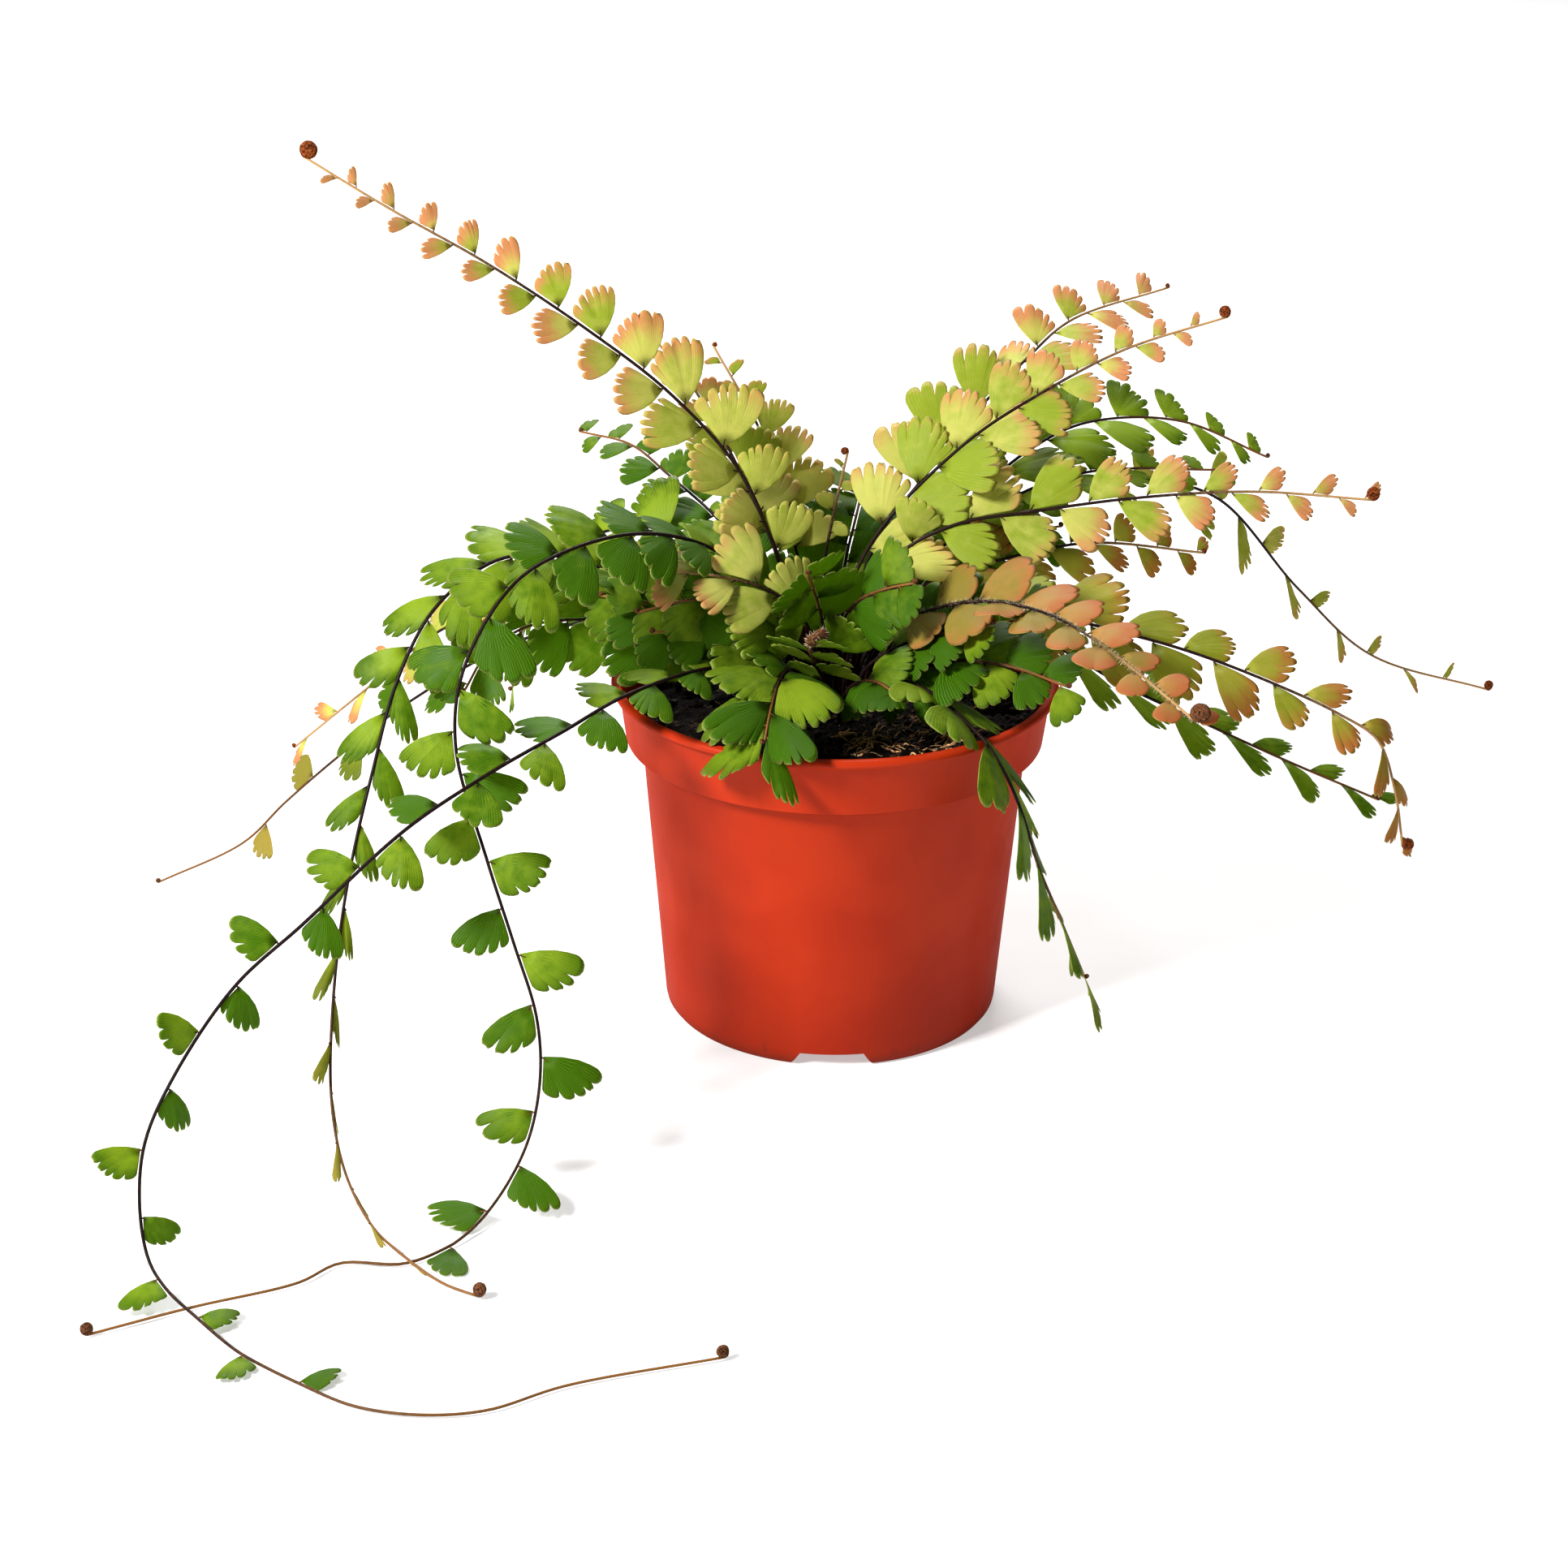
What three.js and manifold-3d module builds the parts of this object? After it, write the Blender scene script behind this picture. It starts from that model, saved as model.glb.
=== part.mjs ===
// A trailing maidenhair fern in a 12 cm nursery pot. Millimetres, +Z up, origin at the middle
// of the pot's foot, which stands on the plane z = 0. The long fronds hang over the rim on
// the left and trail along that plane.
import * as THREE from 'three';
import { mergeVertices } from 'three/addons/utils/BufferGeometryUtils.js';
import Module from 'manifold-3d';

const wasm = await Module();
wasm.setup();

// Driving dimensions: the pot.
const POT_HEIGHT = 94.5;
const LIP_RADIUS = 60;
const BAND_FOOT = 78.4;
const BAND_RADIUS = 56.2;
const BODY_TOP_RADIUS = 51.8;
const BODY_FOOT_RADIUS = 45.6;
const FOOT_RADIUS = 44.5;
const WALL = 1.2;
const FLOOR = 1.4;
const POT_SIDES = 30;

// The three drainage notches in the foot, each with a raised pocket and a hole behind it.
const NOTCHES = 3;
const NOTCH_WIDE = 22;
const NOTCH_NARROW = 17;
const NOTCH_HEIGHT = 4;
const POCKET_INNER = 31;
const DRAIN_RADIUS = 3;
const DRAIN_SIDES = 6;

// The soil.
const SOIL_GAP = 0.55;
const SOIL_BOTTOM = 5.5;
const SOIL_LEVEL = 86;
const SOIL_SLOPE = [0.055, -0.045];
const LUMP_HEIGHT = 0.9;
const CROWN_Y = 4;
const CROWN_RADIUS = 26;
const SOIL_RINGS = [14, 27, 41, 54.2];
const SOIL_SIDES = 24;
const BURIED = 10;
const HOLE_RADIUS = 1.6;
const HOLE_SIDES = 4;
const HOLE_DEPTH = BURIED + 0.3;
const HOLE_ABOVE = 6;

// The fronds: ribs of three sides, leaflets with cut outer edges.
const RIB_HALF = 0.6;
const RIB_TOP = 0.35;
const RIB_KEEL = 0.7;
const LEAF_THICK = 0.7;
const STALK = 1.6;
const LEAF_START = 1.4;
const CLEAR = 0.35;
const LOWEST = 1.1;
const BARE_STEP = 20;
const CURL_RADIUS = 2.1;
const CURL_STEPS = 3;
const CURL_TURN = Math.PI * 1.3;
const CURL_SWELL = 0.4;
const ROUTE_SAMPLES = 400;
const HALF_STEP = 0.8;
const END_BARE = 3;
const SMALL_LEAF = 10;
const TINY_LEAF = 7.5;
const FIRST_LEAF = 0.82;
const FULL_FROM = 0.2;
const SIZE_SCATTER = 0.07;
const TILT_SCATTER = 8;
const SWING_SCATTER = 7;
const RIB_CLEARANCE = 1.4;

// A leaflet's outline from its stalk outwards, for a length of 1: the first number runs along
// the rib towards the tip of the frond, the second away from the rib.
const FAN = {
  wide: [[0.74, 0.12], [0.78, 0.44], [0.56, 0.5], [0.56, 0.84], [0.36, 0.68], [0.12, 1]],
  long: [[0.4, 0.13], [0.58, 0.42], [0.42, 0.52], [0.46, 0.84], [0.28, 0.7], [0, 1]],
  small: [[0.6, 0.2], [0.56, 0.72], [0.3, 0.66], [0.1, 1]],
  tiny: [[0.6, 0.2], [0.5, 0.8], [0, 1]],
};

// The looks of the leaves, by their age.
const LEAF_LOOKS = {
  young: { color: 0xa9b447, outline: 'wide' },
  mature: { color: 0x4b8a1e, outline: 'long' },
  olive: { color: 0x7c8a34, outline: 'wide' },
  red: { color: 0xc07a55, outline: 'long' },
};

// Every frond: how old it is, its route from the soil to its tip, where along the route its
// first and last leaflets stand, how many it has, their length, how much the last ones have
// shrunk, how far the first and last lean towards the tip and how far all fold up, in degrees,
// how much wider apart they get, and the way the upper side faces from crown to tip.
const FRONDS = [
  {
    name: 'upper_left', age: 'young', first: 44, last: 196, leaflets: 24, size: 16, shrink: 0.3,
    lean: [8, 12], fold: 20, spread: -0.2,
    face: [[0.3, -0.9, 0.4], [0.3, -0.8, 0.6], [0.3, -0.7, 0.7]],
    route: [[-6, 3, 86], [-11, 2, 110], [-17, 2, 131], [-26, 3, 151], [-44, 5, 171], [-65, 7, 187],
      [-91, 9, 204], [-116, 10, 218], [-137, 10, 231]],
  },
  {
    name: 'up_left_back', age: 'young', first: 40, last: 108, leaflets: 13, size: 15.5, shrink: 0.3,
    lean: [10, 10], fold: 8, spread: -0.1, face: [[0.3, -0.5, 0.8], [0.1, -0.4, 0.9]],
    route: [[-5, 8, 86], [-9, 9, 106], [-15, 12, 123], [-23, 22, 138], [-31, 32, 151], [-40, 42, 163],
      [-54, 53, 177]],
  },
  {
    name: 'up_back', age: 'young', first: 40, last: 98, leaflets: 12, size: 15.5, shrink: 0.3,
    lean: [10, 10], fold: 8, spread: -0.1, face: [[0.2, -0.8, 0.5], [0, -0.6, 0.8]],
    route: [[-2, 10, 86], [-5, 12, 105], [-10, 18, 121], [-15, 30, 135], [-21, 42, 150], [-34, 58, 169]],
  },
  {
    name: 'middle_young', age: 'young', first: 44, last: 62, leaflets: 4, size: 6, shrink: 0.6,
    lean: [10, 10], fold: 8, spread: 0, face: [[0, -0.9, 0.4]],
    route: [[1, 8, 86], [-1, 9, 106], [-3, 14, 120], [-1, 20, 132], [3, 29, 148]],
  },
  {
    name: 'left_high', age: 'mature', first: 26, last: 112, leaflets: 15, size: 14, shrink: 0.4,
    lean: [12, 12], fold: 8, spread: 0, face: [[0, -0.3, 1], [-0.2, -0.3, 1]],
    route: [[-9, 11, 86], [-13, 14, 103], [-22, 22, 118], [-33, 36, 127], [-46, 50, 134],
      [-57, 62, 139], [-72, 74, 139]],
  },
  {
    name: 'left_arch', age: 'mature', first: 26, last: 150, leaflets: 16, size: 15, shrink: 0.5,
    lean: [14, 14], fold: 8, spread: 0, face: [[0, -0.2, 1], [-0.6, -0.2, 0.7], [-1, -0.2, 0.3]],
    route: [[-12, 8, 86], [-17, 10, 100], [-29, 18, 114], [-42, 26, 122], [-55, 34, 124],
      [-69, 42, 118], [-80, 50, 106], [-88, 56, 87], [-92, 60, 66]],
  },
  {
    name: 'left_far', age: 'young', first: 70, last: 188, leaflets: 10, size: 10, shrink: 0.6,
    lean: [14, 14], fold: 8, spread: 0, face: [[0, -0.3, 1], [-0.5, -0.5, 0.7]],
    route: [[-13, 13, 86], [-20, 18, 99], [-36, 28, 108], [-60, 42, 106], [-89, 58, 95],
      [-114, 68, 80], [-134, 76, 61], [-159, 82, 38]],
  },
  {
    name: 'left_thread', age: 'mature', first: 60, last: 186, leaflets: 8, size: 12, shrink: 0.7,
    lean: [14, 14], fold: 8, spread: 0.2, face: [[0, -0.3, 1], [-0.4, -0.6, 0.7]],
    route: [[-17, 8, 86], [-26, 13, 98], [-38, 19, 103], [-60, 29, 100], [-88, 38, 89],
      [-119, 46, 68], [-141, 50, 49], [-158, 52, 33], [-171, 52, 20], [-195, 46, 10]],
  },
  {
    name: 'left_low', age: 'mature', first: 22, last: 104, leaflets: 13, size: 16, shrink: 0.6,
    lean: [18, 18], fold: 8, spread: 0, face: [[0, -1, 0.5], [-0.4, -1, 0.5]],
    route: [[-13, 0, 86], [-20, -2, 100], [-37, -3, 109], [-52, -5, 112], [-66, -8, 113],
      [-81, -14, 113], [-91, -20, 108], [-97, -25, 99]],
  },
  {
    name: 'left_mid', age: 'mature', first: 26, last: 118, leaflets: 12, size: 15, shrink: 0.6,
    lean: [14, 14], fold: 8, spread: 0, face: [[0, -0.2, 1], [-0.6, -0.3, 0.8]],
    route: [[-15, 5, 86], [-20, 4, 101], [-37, 4, 111], [-56, 8, 113], [-79, 18, 111], [-93, 24, 103],
      [-104, 30, 90]],
  },
  {
    name: 'left_trailing_far', age: 'mature', first: 58, last: 305, leaflets: 28, size: 14.5, shrink: 0.5,
    lean: [14, 50], fold: 0, spread: 0.6, face: [[0.1, -0.3, 1], [-0.3, -0.4, 0.9],
      [-0.1, -1, 0.2], [0.9, -0.45, 0.1], [0.3, 0, 1]],
    route: [[-11, 5, 86], [-20, 4, 104], [-35, 2, 113], [-51, 0, 119], [-65, -2, 126],
      [-78, -8, 131], [-90, -15, 131], [-104, -26, 122], [-113, -35, 106], [-119, -46, 85],
      [-124, -62, 63], [-126, -82, 43], [-125, -104, 22], [-121, -117, 10], [-112, -136, 4.5],
      [-104, -147, 3.5], [-93, -157, 1.5], [-84, -162, 1]],
  },
  {
    name: 'left_trailing_near', age: 'mature', first: 52, last: 302, leaflets: 26, size: 16.5, shrink: 0.85,
    lean: [16, 16], fold: 0, spread: 0.5, face: [[0, -0.3, 1], [-0.2, -0.4, 0.9], [-0.2, -0.9, 0.3],
      [0, -1, 0.2], [0, -0.8, 0.6], [0, 0, 1], [0, 0, 1]],
    route: [[-9, 0, 86], [-14, -2, 106], [-22, -5, 122], [-31, -8, 132], [-47, -20, 141],
      [-64, -34, 143], [-81, -50, 138], [-93, -62, 120], [-95, -69, 102], [-87, -80, 76],
      [-80, -90, 58], [-74, -99, 42], [-73, -105, 28], [-76, -113, 14], [-84, -127, 4],
      [-93, -140, 1], [-103, -148, 1], [-118, -148, 1], [-127, -157, 1], [-150, -168, 1],
      [-172, -180, 1]],
  },
  {
    name: 'left_trailing_long', age: 'mature', first: 36, last: 326, leaflets: 24, size: 14, shrink: 0.7,
    lean: [16, 16], fold: 0, spread: 0.45, face: [[0, -0.3, 1], [-0.2, -0.4, 0.9], [-0.2, -0.6, 0.8],
      [0.6, -0.7, 0.2], [0, 0, 1], [0, 0, 1], [0, 0, 1]],
    route: [[-11, -5, 86], [-16, -10, 99], [-31, -24, 106], [-53, -46, 107], [-69, -62, 103],
      [-85, -78, 99], [-105, -93, 90], [-129, -110, 72], [-144, -121, 61], [-157, -138, 45],
      [-163, -146, 32], [-164, -152, 19], [-162, -157, 8], [-157, -165, 5], [-148, -175, 3],
      [-135, -188, 1], [-121, -199, 1], [-107, -208, 1], [-92, -211, 1], [-78, -209, 1],
      [-61, -199, 1], [-26, -187, 1]],
  },
  {
    name: 'front_over_rim', age: 'mature', first: 22, last: 60, leaflets: 10, size: 19.5, shrink: 0.9,
    lean: [12, 50], fold: 8, spread: 0, face: [[0, -0.5, 1], [0, -0.6, 0.9]],
    route: [[-5, -7, 86], [-8, -12, 98], [-12, -20, 104], [-15, -32, 105], [-17, -44, 102],
      [-18.5, -54, 97.5]],
  },
  {
    name: 'front_fiddlehead', age: 'mature', first: 14, last: 40, leaflets: 6, size: 12.5, shrink: 0.85,
    lean: [10, 10], fold: 8, spread: 0, face: [[0, -0.4, 1]],
    route: [[-1, -8, 86], [-3, -14, 98], [-6, -24, 108], [-8, -37, 118]],
  },
  {
    name: 'front_right_hanging', age: 'mature', first: 34, last: 146, leaflets: 13, size: 16, shrink: 0.7,
    lean: [20, 66], fold: 0, spread: 0.2, face: [[0, -0.6, 0.9], [0.9, -0.3, 0.4], [0.9, 0.4, 0.1]],
    route: [[2, -9, 86], [7, -15, 97], [17, -25, 103], [26, -36, 103], [33, -46, 100],
      [38, -53, 97], [43, -58, 90], [47, -60, 81], [52, -58, 65], [57, -54, 52], [66, -48, 29]],
  },
  {
    name: 'right_low_inner', age: 'mature', first: 20, last: 58, leaflets: 8, size: 14, shrink: 0.7,
    lean: [14, 14], fold: 8, spread: 0, face: [[0, -0.6, 0.9]],
    route: [[5, -3, 86], [8, -9, 100], [18, -16, 110], [26, -22, 115], [40, -30, 121]],
  },
  {
    name: 'right_low_outer', age: 'mature', first: 18, last: 76, leaflets: 11, size: 15, shrink: 0.7,
    lean: [14, 14], fold: 8, spread: 0, face: [[0.1, -0.6, 0.9]],
    route: [[5, -7, 86], [10, -13, 98], [20, -20, 104], [32, -28, 110], [45, -35, 111], [59, -41, 108]],
  },
  {
    name: 'right_high', age: 'young', first: 42, last: 148, leaflets: 18, size: 17.5, shrink: 0.3,
    lean: [10, 10], fold: 8, spread: -0.2, face: [[-0.3, -0.9, 0.5], [-0.3, -0.6, 0.8]],
    route: [[0, 4, 86], [1, 6, 106], [6, 10, 122], [14, 12, 135], [35, 18, 155], [54, 22, 167],
      [76, 26, 178], [103, 30, 186]],
  },
  {
    name: 'right_high_back', age: 'young', first: 56, last: 158, leaflets: 16, size: 20, shrink: 0.45,
    lean: [6, 6], fold: 8, spread: -0.1, face: [[-0.3, -0.8, 0.6], [-0.2, -0.7, 0.8]],
    route: [[2, 10, 86], [5, 15, 108], [12, 25, 126], [22, 36, 136], [38, 54, 151], [53, 68, 163],
      [66, 80, 171], [95, 98, 176]],
  },
  {
    name: 'right_green_arch', age: 'mature', first: 60, last: 172, leaflets: 14, size: 16, shrink: 0.4,
    lean: [14, 14], fold: 8, spread: -0.1, face: [[0, -0.4, 1], [0.2, -0.3, 1]],
    route: [[5, 8, 86], [10, 13, 106], [22, 24, 124], [38, 36, 134], [53, 50, 142], [70, 64, 146],
      [98, 80, 142], [126, 94, 127]],
  },
  {
    name: 'right_level', age: 'young', first: 40, last: 170, leaflets: 18, size: 17, shrink: 0.35,
    lean: [16, 16], fold: 8, spread: -0.1, face: [[-0.2, -0.9, 0.6], [0, -0.7, 0.8]],
    route: [[4, 2, 86], [7, 3, 110], [16, 4, 127], [31, 4, 136], [52, 4, 140], [79, 4, 144],
      [109, 4, 146], [141, 4, 144]],
  },
  {
    name: 'right_level_low', age: 'olive', first: 30, last: 122, leaflets: 14, size: 14, shrink: 0.4,
    lean: [16, 16], fold: 8, spread: -0.1, face: [[0, -0.7, 0.8]],
    route: [[7, 5, 86], [13, 8, 106], [26, 13, 117], [43, 18, 121], [69, 28, 123], [102, 38, 117]],
  },
  {
    name: 'right_red', age: 'red', first: 40, last: 146, leaflets: 16, size: 13.5, shrink: 0.45,
    lean: [16, 16], fold: 8, spread: -0.1, face: [[0, -0.6, 0.9], [0.2, -0.5, 1]],
    route: [[2, -3, 86], [4, -5, 104], [10, -8, 113], [21, -12, 117], [33, -20, 123],
      [42, -28, 126], [55, -44, 128], [69, -64, 125], [86, -82, 116]],
  },
  {
    name: 'right_olive_arch', age: 'olive', first: 46, last: 196, leaflets: 18, size: 16, shrink: 0.45,
    lean: [18, 30], fold: 0, spread: 0, face: [[0, -0.5, 1], [0.2, -0.5, 0.9], [0.8, -0.5, 0.3]],
    route: [[7, 0, 86], [13, -1, 106], [28, -4, 117], [47, -8, 118], [68, -12, 114], [91, -16, 109],
      [112, -22, 103], [131, -28, 96], [141, -31, 90], [146, -34, 77], [149, -35, 62]],
  },
  {
    name: 'right_green_low', age: 'mature', first: 34, last: 176, leaflets: 16, size: 14.5, shrink: 0.6,
    lean: [18, 18], fold: 8, spread: 0.1, face: [[0, -0.3, 1], [0.3, -0.3, 1]],
    route: [[9, 3, 86], [15, 6, 98], [28, 10, 105], [44, 15, 103], [60, 20, 96], [80, 24, 83],
      [100, 28, 72], [129, 32, 57], [155, 34, 45]],
  },
  {
    name: 'right_far', age: 'young', first: 110, last: 262, leaflets: 12, size: 13, shrink: 0.4,
    lean: [16, 16], fold: 8, spread: 0, face: [[0, -0.3, 1], [0.5, -0.6, 0.5]],
    route: [[5, 11, 86], [12, 18, 108], [34, 36, 123], [62, 60, 128], [87, 78, 125], [112, 92, 115],
      [140, 106, 82], [165, 114, 58], [203, 122, 44]],
  },
  {
    name: 'right_mid_back', age: 'mature', first: 40, last: 138, leaflets: 13, size: 12, shrink: 0.5,
    lean: [12, 12], fold: 8, spread: 0, face: [[0, -0.3, 1]],
    route: [[9, 9, 86], [15, 12, 107], [29, 21, 124], [50, 36, 134], [71, 48, 137], [110, 66, 132]],
  },
  {
    name: 'back_left_outer', age: 'mature', first: 34, last: 152, leaflets: 8, size: 14, shrink: 0.5,
    lean: [14, 14], fold: 8, spread: 0.1, face: [[0, 0.2, 1], [-0.6, 0.5, 0.6]],
    route: [[-11, 16, 86], [-20, 26, 102], [-38, 44, 109], [-60, 66, 106], [-80, 86, 90],
      [-94, 100, 66]],
  },
  {
    name: 'back_left', age: 'mature', first: 34, last: 160, leaflets: 8, size: 14, shrink: 0.5,
    lean: [14, 14], fold: 8, spread: 0.1, face: [[0, 0.2, 1], [-0.3, 0.9, 0.5]],
    route: [[-7, 17, 86], [-12, 30, 102], [-22, 54, 110], [-34, 82, 104], [-44, 106, 84],
      [-50, 122, 56]],
  },
  {
    name: 'back_middle', age: 'mature', first: 34, last: 170, leaflets: 8, size: 14, shrink: 0.5,
    lean: [14, 14], fold: 8, spread: 0.1, face: [[0, 0.2, 1], [0, 1, 0.3]],
    route: [[-2, 16, 86], [0, 32, 104], [2, 60, 112], [4, 90, 102], [4, 116, 78], [2, 130, 44]],
  },
  {
    name: 'back_right', age: 'mature', first: 34, last: 152, leaflets: 8, size: 14, shrink: 0.5,
    lean: [14, 14], fold: 8, spread: 0.1, face: [[0, 0.2, 1], [0.4, 0.9, 0.4]],
    route: [[4, 15, 86], [12, 30, 102], [26, 54, 108], [42, 80, 100], [54, 102, 78], [60, 114, 50]],
  },
  {
    name: 'back_right_outer', age: 'mature', first: 36, last: 130, leaflets: 8, size: 13, shrink: 0.5,
    lean: [14, 14], fold: 8, spread: 0.1, face: [[0, 0.2, 1], [0.7, 0.5, 0.4]],
    route: [[9, 13, 86], [20, 22, 100], [42, 38, 105], [66, 54, 98], [84, 68, 80], [92, 76, 60]],
  },
  {
    name: 'crown_left', age: 'mature', first: 26, last: 70, leaflets: 9, size: 15, shrink: 0.7,
    lean: [14, 14], fold: 8, spread: 0, face: [[0, -0.8, 0.6]],
    route: [[-5, -2, 86], [-7, -5, 100], [-13, -9, 112], [-24, -12, 119], [-37, -14, 121], [-52, -16, 118]],
  },
  {
    name: 'crown_left_low', age: 'mature', first: 18, last: 50, leaflets: 8, size: 15, shrink: 0.8,
    lean: [14, 14], fold: 8, spread: 0, face: [[-0.1, -0.8, 0.7]],
    route: [[-8, -9, 86], [-12, -12, 98], [-22, -13, 108], [-34, -16, 113], [-48, -20, 114]],
  },
  {
    name: 'crown_left_outer', age: 'mature', first: 24, last: 68, leaflets: 9, size: 14.5, shrink: 0.7,
    lean: [14, 14], fold: 8, spread: 0, face: [[-0.2, -0.7, 0.7]],
    route: [[-18, -1, 86], [-24, -6, 100], [-34, -9, 112], [-48, -10, 118], [-62, -9, 120]],
  },
  {
    name: 'crown_pale', age: 'young', first: 34, last: 72, leaflets: 7, size: 16, shrink: 0.7,
    lean: [10, 10], fold: 8, spread: 0, face: [[0, -0.7, 0.8]],
    route: [[-2, -4.5, 86], [-5, -8, 104], [-10, -12, 117], [-20, -15, 125], [-34, -17, 129],
      [-47, -18, 130]],
  },
  {
    name: 'crown_front', age: 'mature', first: 18, last: 44, leaflets: 7, size: 15, shrink: 0.7,
    lean: [12, 12], fold: 8, spread: 0, face: [[0, -0.9, 0.4]],
    route: [[-1, -1, 86], [-2, -3, 102], [-4, -7, 114], [-6, -12, 123], [-8, -18, 130]],
  },
  {
    name: 'crown_front_right', age: 'mature', first: 26, last: 52, leaflets: 7, size: 14, shrink: 0.75,
    lean: [12, 12], fold: 8, spread: 0, face: [[0, -0.8, 0.6]],
    route: [[1.5, 0.5, 86], [1, -2, 100], [2, -7, 113], [6, -13, 121], [13, -18, 126], [20, -22, 129]],
  },
  {
    name: 'crown_right', age: 'mature', first: 24, last: 62, leaflets: 8, size: 14, shrink: 0.7,
    lean: [14, 14], fold: 8, spread: 0, face: [[0, -0.6, 0.9]],
    route: [[11, -1, 86], [13, -5, 99], [16, -9, 107], [25, -12, 112], [38, -15, 116], [51, -17, 117]],
  },
  {
    name: 'crown_low_front', age: 'mature', first: 12, last: 34, leaflets: 7, size: 13, shrink: 0.8,
    lean: [14, 14], fold: 8, spread: 0, face: [[0, -0.6, 0.8]],
    route: [[1, -13, 86], [2, -17, 95], [5, -22, 101], [10, -28, 104], [16, -36, 103]],
  },
  {
    name: 'crown_back', age: 'mature', first: 22, last: 60, leaflets: 9, size: 15, shrink: 0.7,
    lean: [14, 14], fold: 8, spread: 0, face: [[0, -0.8, 0.7]],
    route: [[0, 20, 86], [1, 24, 103], [3, 30, 117], [6, 40, 127], [8, 54, 131]],
  },
  {
    name: 'crown_back_right', age: 'mature', first: 24, last: 66, leaflets: 9, size: 14.5, shrink: 0.7,
    lean: [14, 14], fold: 8, spread: 0, face: [[0, -0.7, 0.7]],
    route: [[14, 10, 86], [18, 14, 103], [24, 18, 114], [34, 24, 121], [48, 30, 125], [62, 36, 125]],
  },
  {
    name: 'crown_low_back', age: 'mature', first: 14, last: 44, leaflets: 7, size: 13.5, shrink: 0.8,
    lean: [12, 12], fold: 8, spread: 0, face: [[0, -0.8, 0.7]],
    route: [[6.5, 18.5, 86], [10, 26, 93], [18, 36, 97], [30, 42, 98]],
  },
  {
    name: 'crown_low_back_left', age: 'mature', first: 14, last: 42, leaflets: 7, size: 13.5, shrink: 0.8,
    lean: [12, 12], fold: 8, spread: 0, face: [[0, -0.8, 0.7]],
    route: [[-4.5, 20, 86], [-6, 28, 94], [-9, 38, 98], [-16, 46, 99]],
  },
];

const POT_COLOR = 0xc2401f;
const SOIL_COLOR = 0x2a1b12;

const group = new THREE.Group();

function toSolid(geometry) {
  const bare = geometry.clone();
  bare.deleteAttribute('normal');
  bare.deleteAttribute('uv');
  const merged = mergeVertices(bare, 1e-4);
  return new wasm.Manifold(new wasm.Mesh({
    numProp: 3,
    vertProperties: new Float32Array(merged.attributes.position.array),
    triVerts: new Uint32Array(merged.index.array),
  }));
}

function toGeometry(solid) {
  const mesh = solid.getMesh();
  const geometry = new THREE.BufferGeometry();
  geometry.setAttribute('position', new THREE.BufferAttribute(mesh.vertProperties, 3));
  geometry.setIndex(new THREE.BufferAttribute(mesh.triVerts, 1));
  return geometry;
}

function addPart(name, geometry, color, roughness) {
  geometry.computeVertexNormals();
  const material = new THREE.MeshStandardMaterial({ color, roughness, metalness: 0 });
  const mesh = new THREE.Mesh(geometry, material);
  mesh.name = name;
  group.add(mesh);
}

// A solid turned round the pot's axis. The outline runs from the axis at the foot to the axis
// at the top.
function turned(outline) {
  const lathe = new THREE.LatheGeometry(outline.map(([r, z]) => new THREE.Vector2(r, z)), POT_SIDES);
  lathe.rotateX(Math.PI / 2);
  return toSolid(lathe);
}

// A wedge with a trapezoid end, lying along the radius of one notch.
function notchBlock(grow, bottom, top, inner, outer, angle) {
  const slope = (NOTCH_WIDE - NOTCH_NARROW) / 2 / NOTCH_HEIGHT;
  const half = (z) => NOTCH_WIDE / 2 - slope * z + grow;
  const shape = new THREE.Shape([
    new THREE.Vector2(-half(bottom), bottom),
    new THREE.Vector2(half(bottom), bottom),
    new THREE.Vector2(half(top), top),
    new THREE.Vector2(-half(top), top),
  ]);
  const block = new THREE.ExtrudeGeometry(shape, { depth: outer - inner, bevelEnabled: false });
  block.translate(0, 0, inner);
  block.rotateX(Math.PI / 2);
  block.rotateZ(angle);
  return toSolid(block);
}

function drainHole(angle) {
  const hole = new THREE.CylinderGeometry(DRAIN_RADIUS, DRAIN_RADIUS, NOTCH_HEIGHT, DRAIN_SIDES);
  hole.rotateX(Math.PI / 2);
  hole.translate(0, -(POCKET_INNER + DRAIN_RADIUS + 2), NOTCH_HEIGHT + 1);
  hole.rotateZ(angle);
  return toSolid(hole);
}

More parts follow.
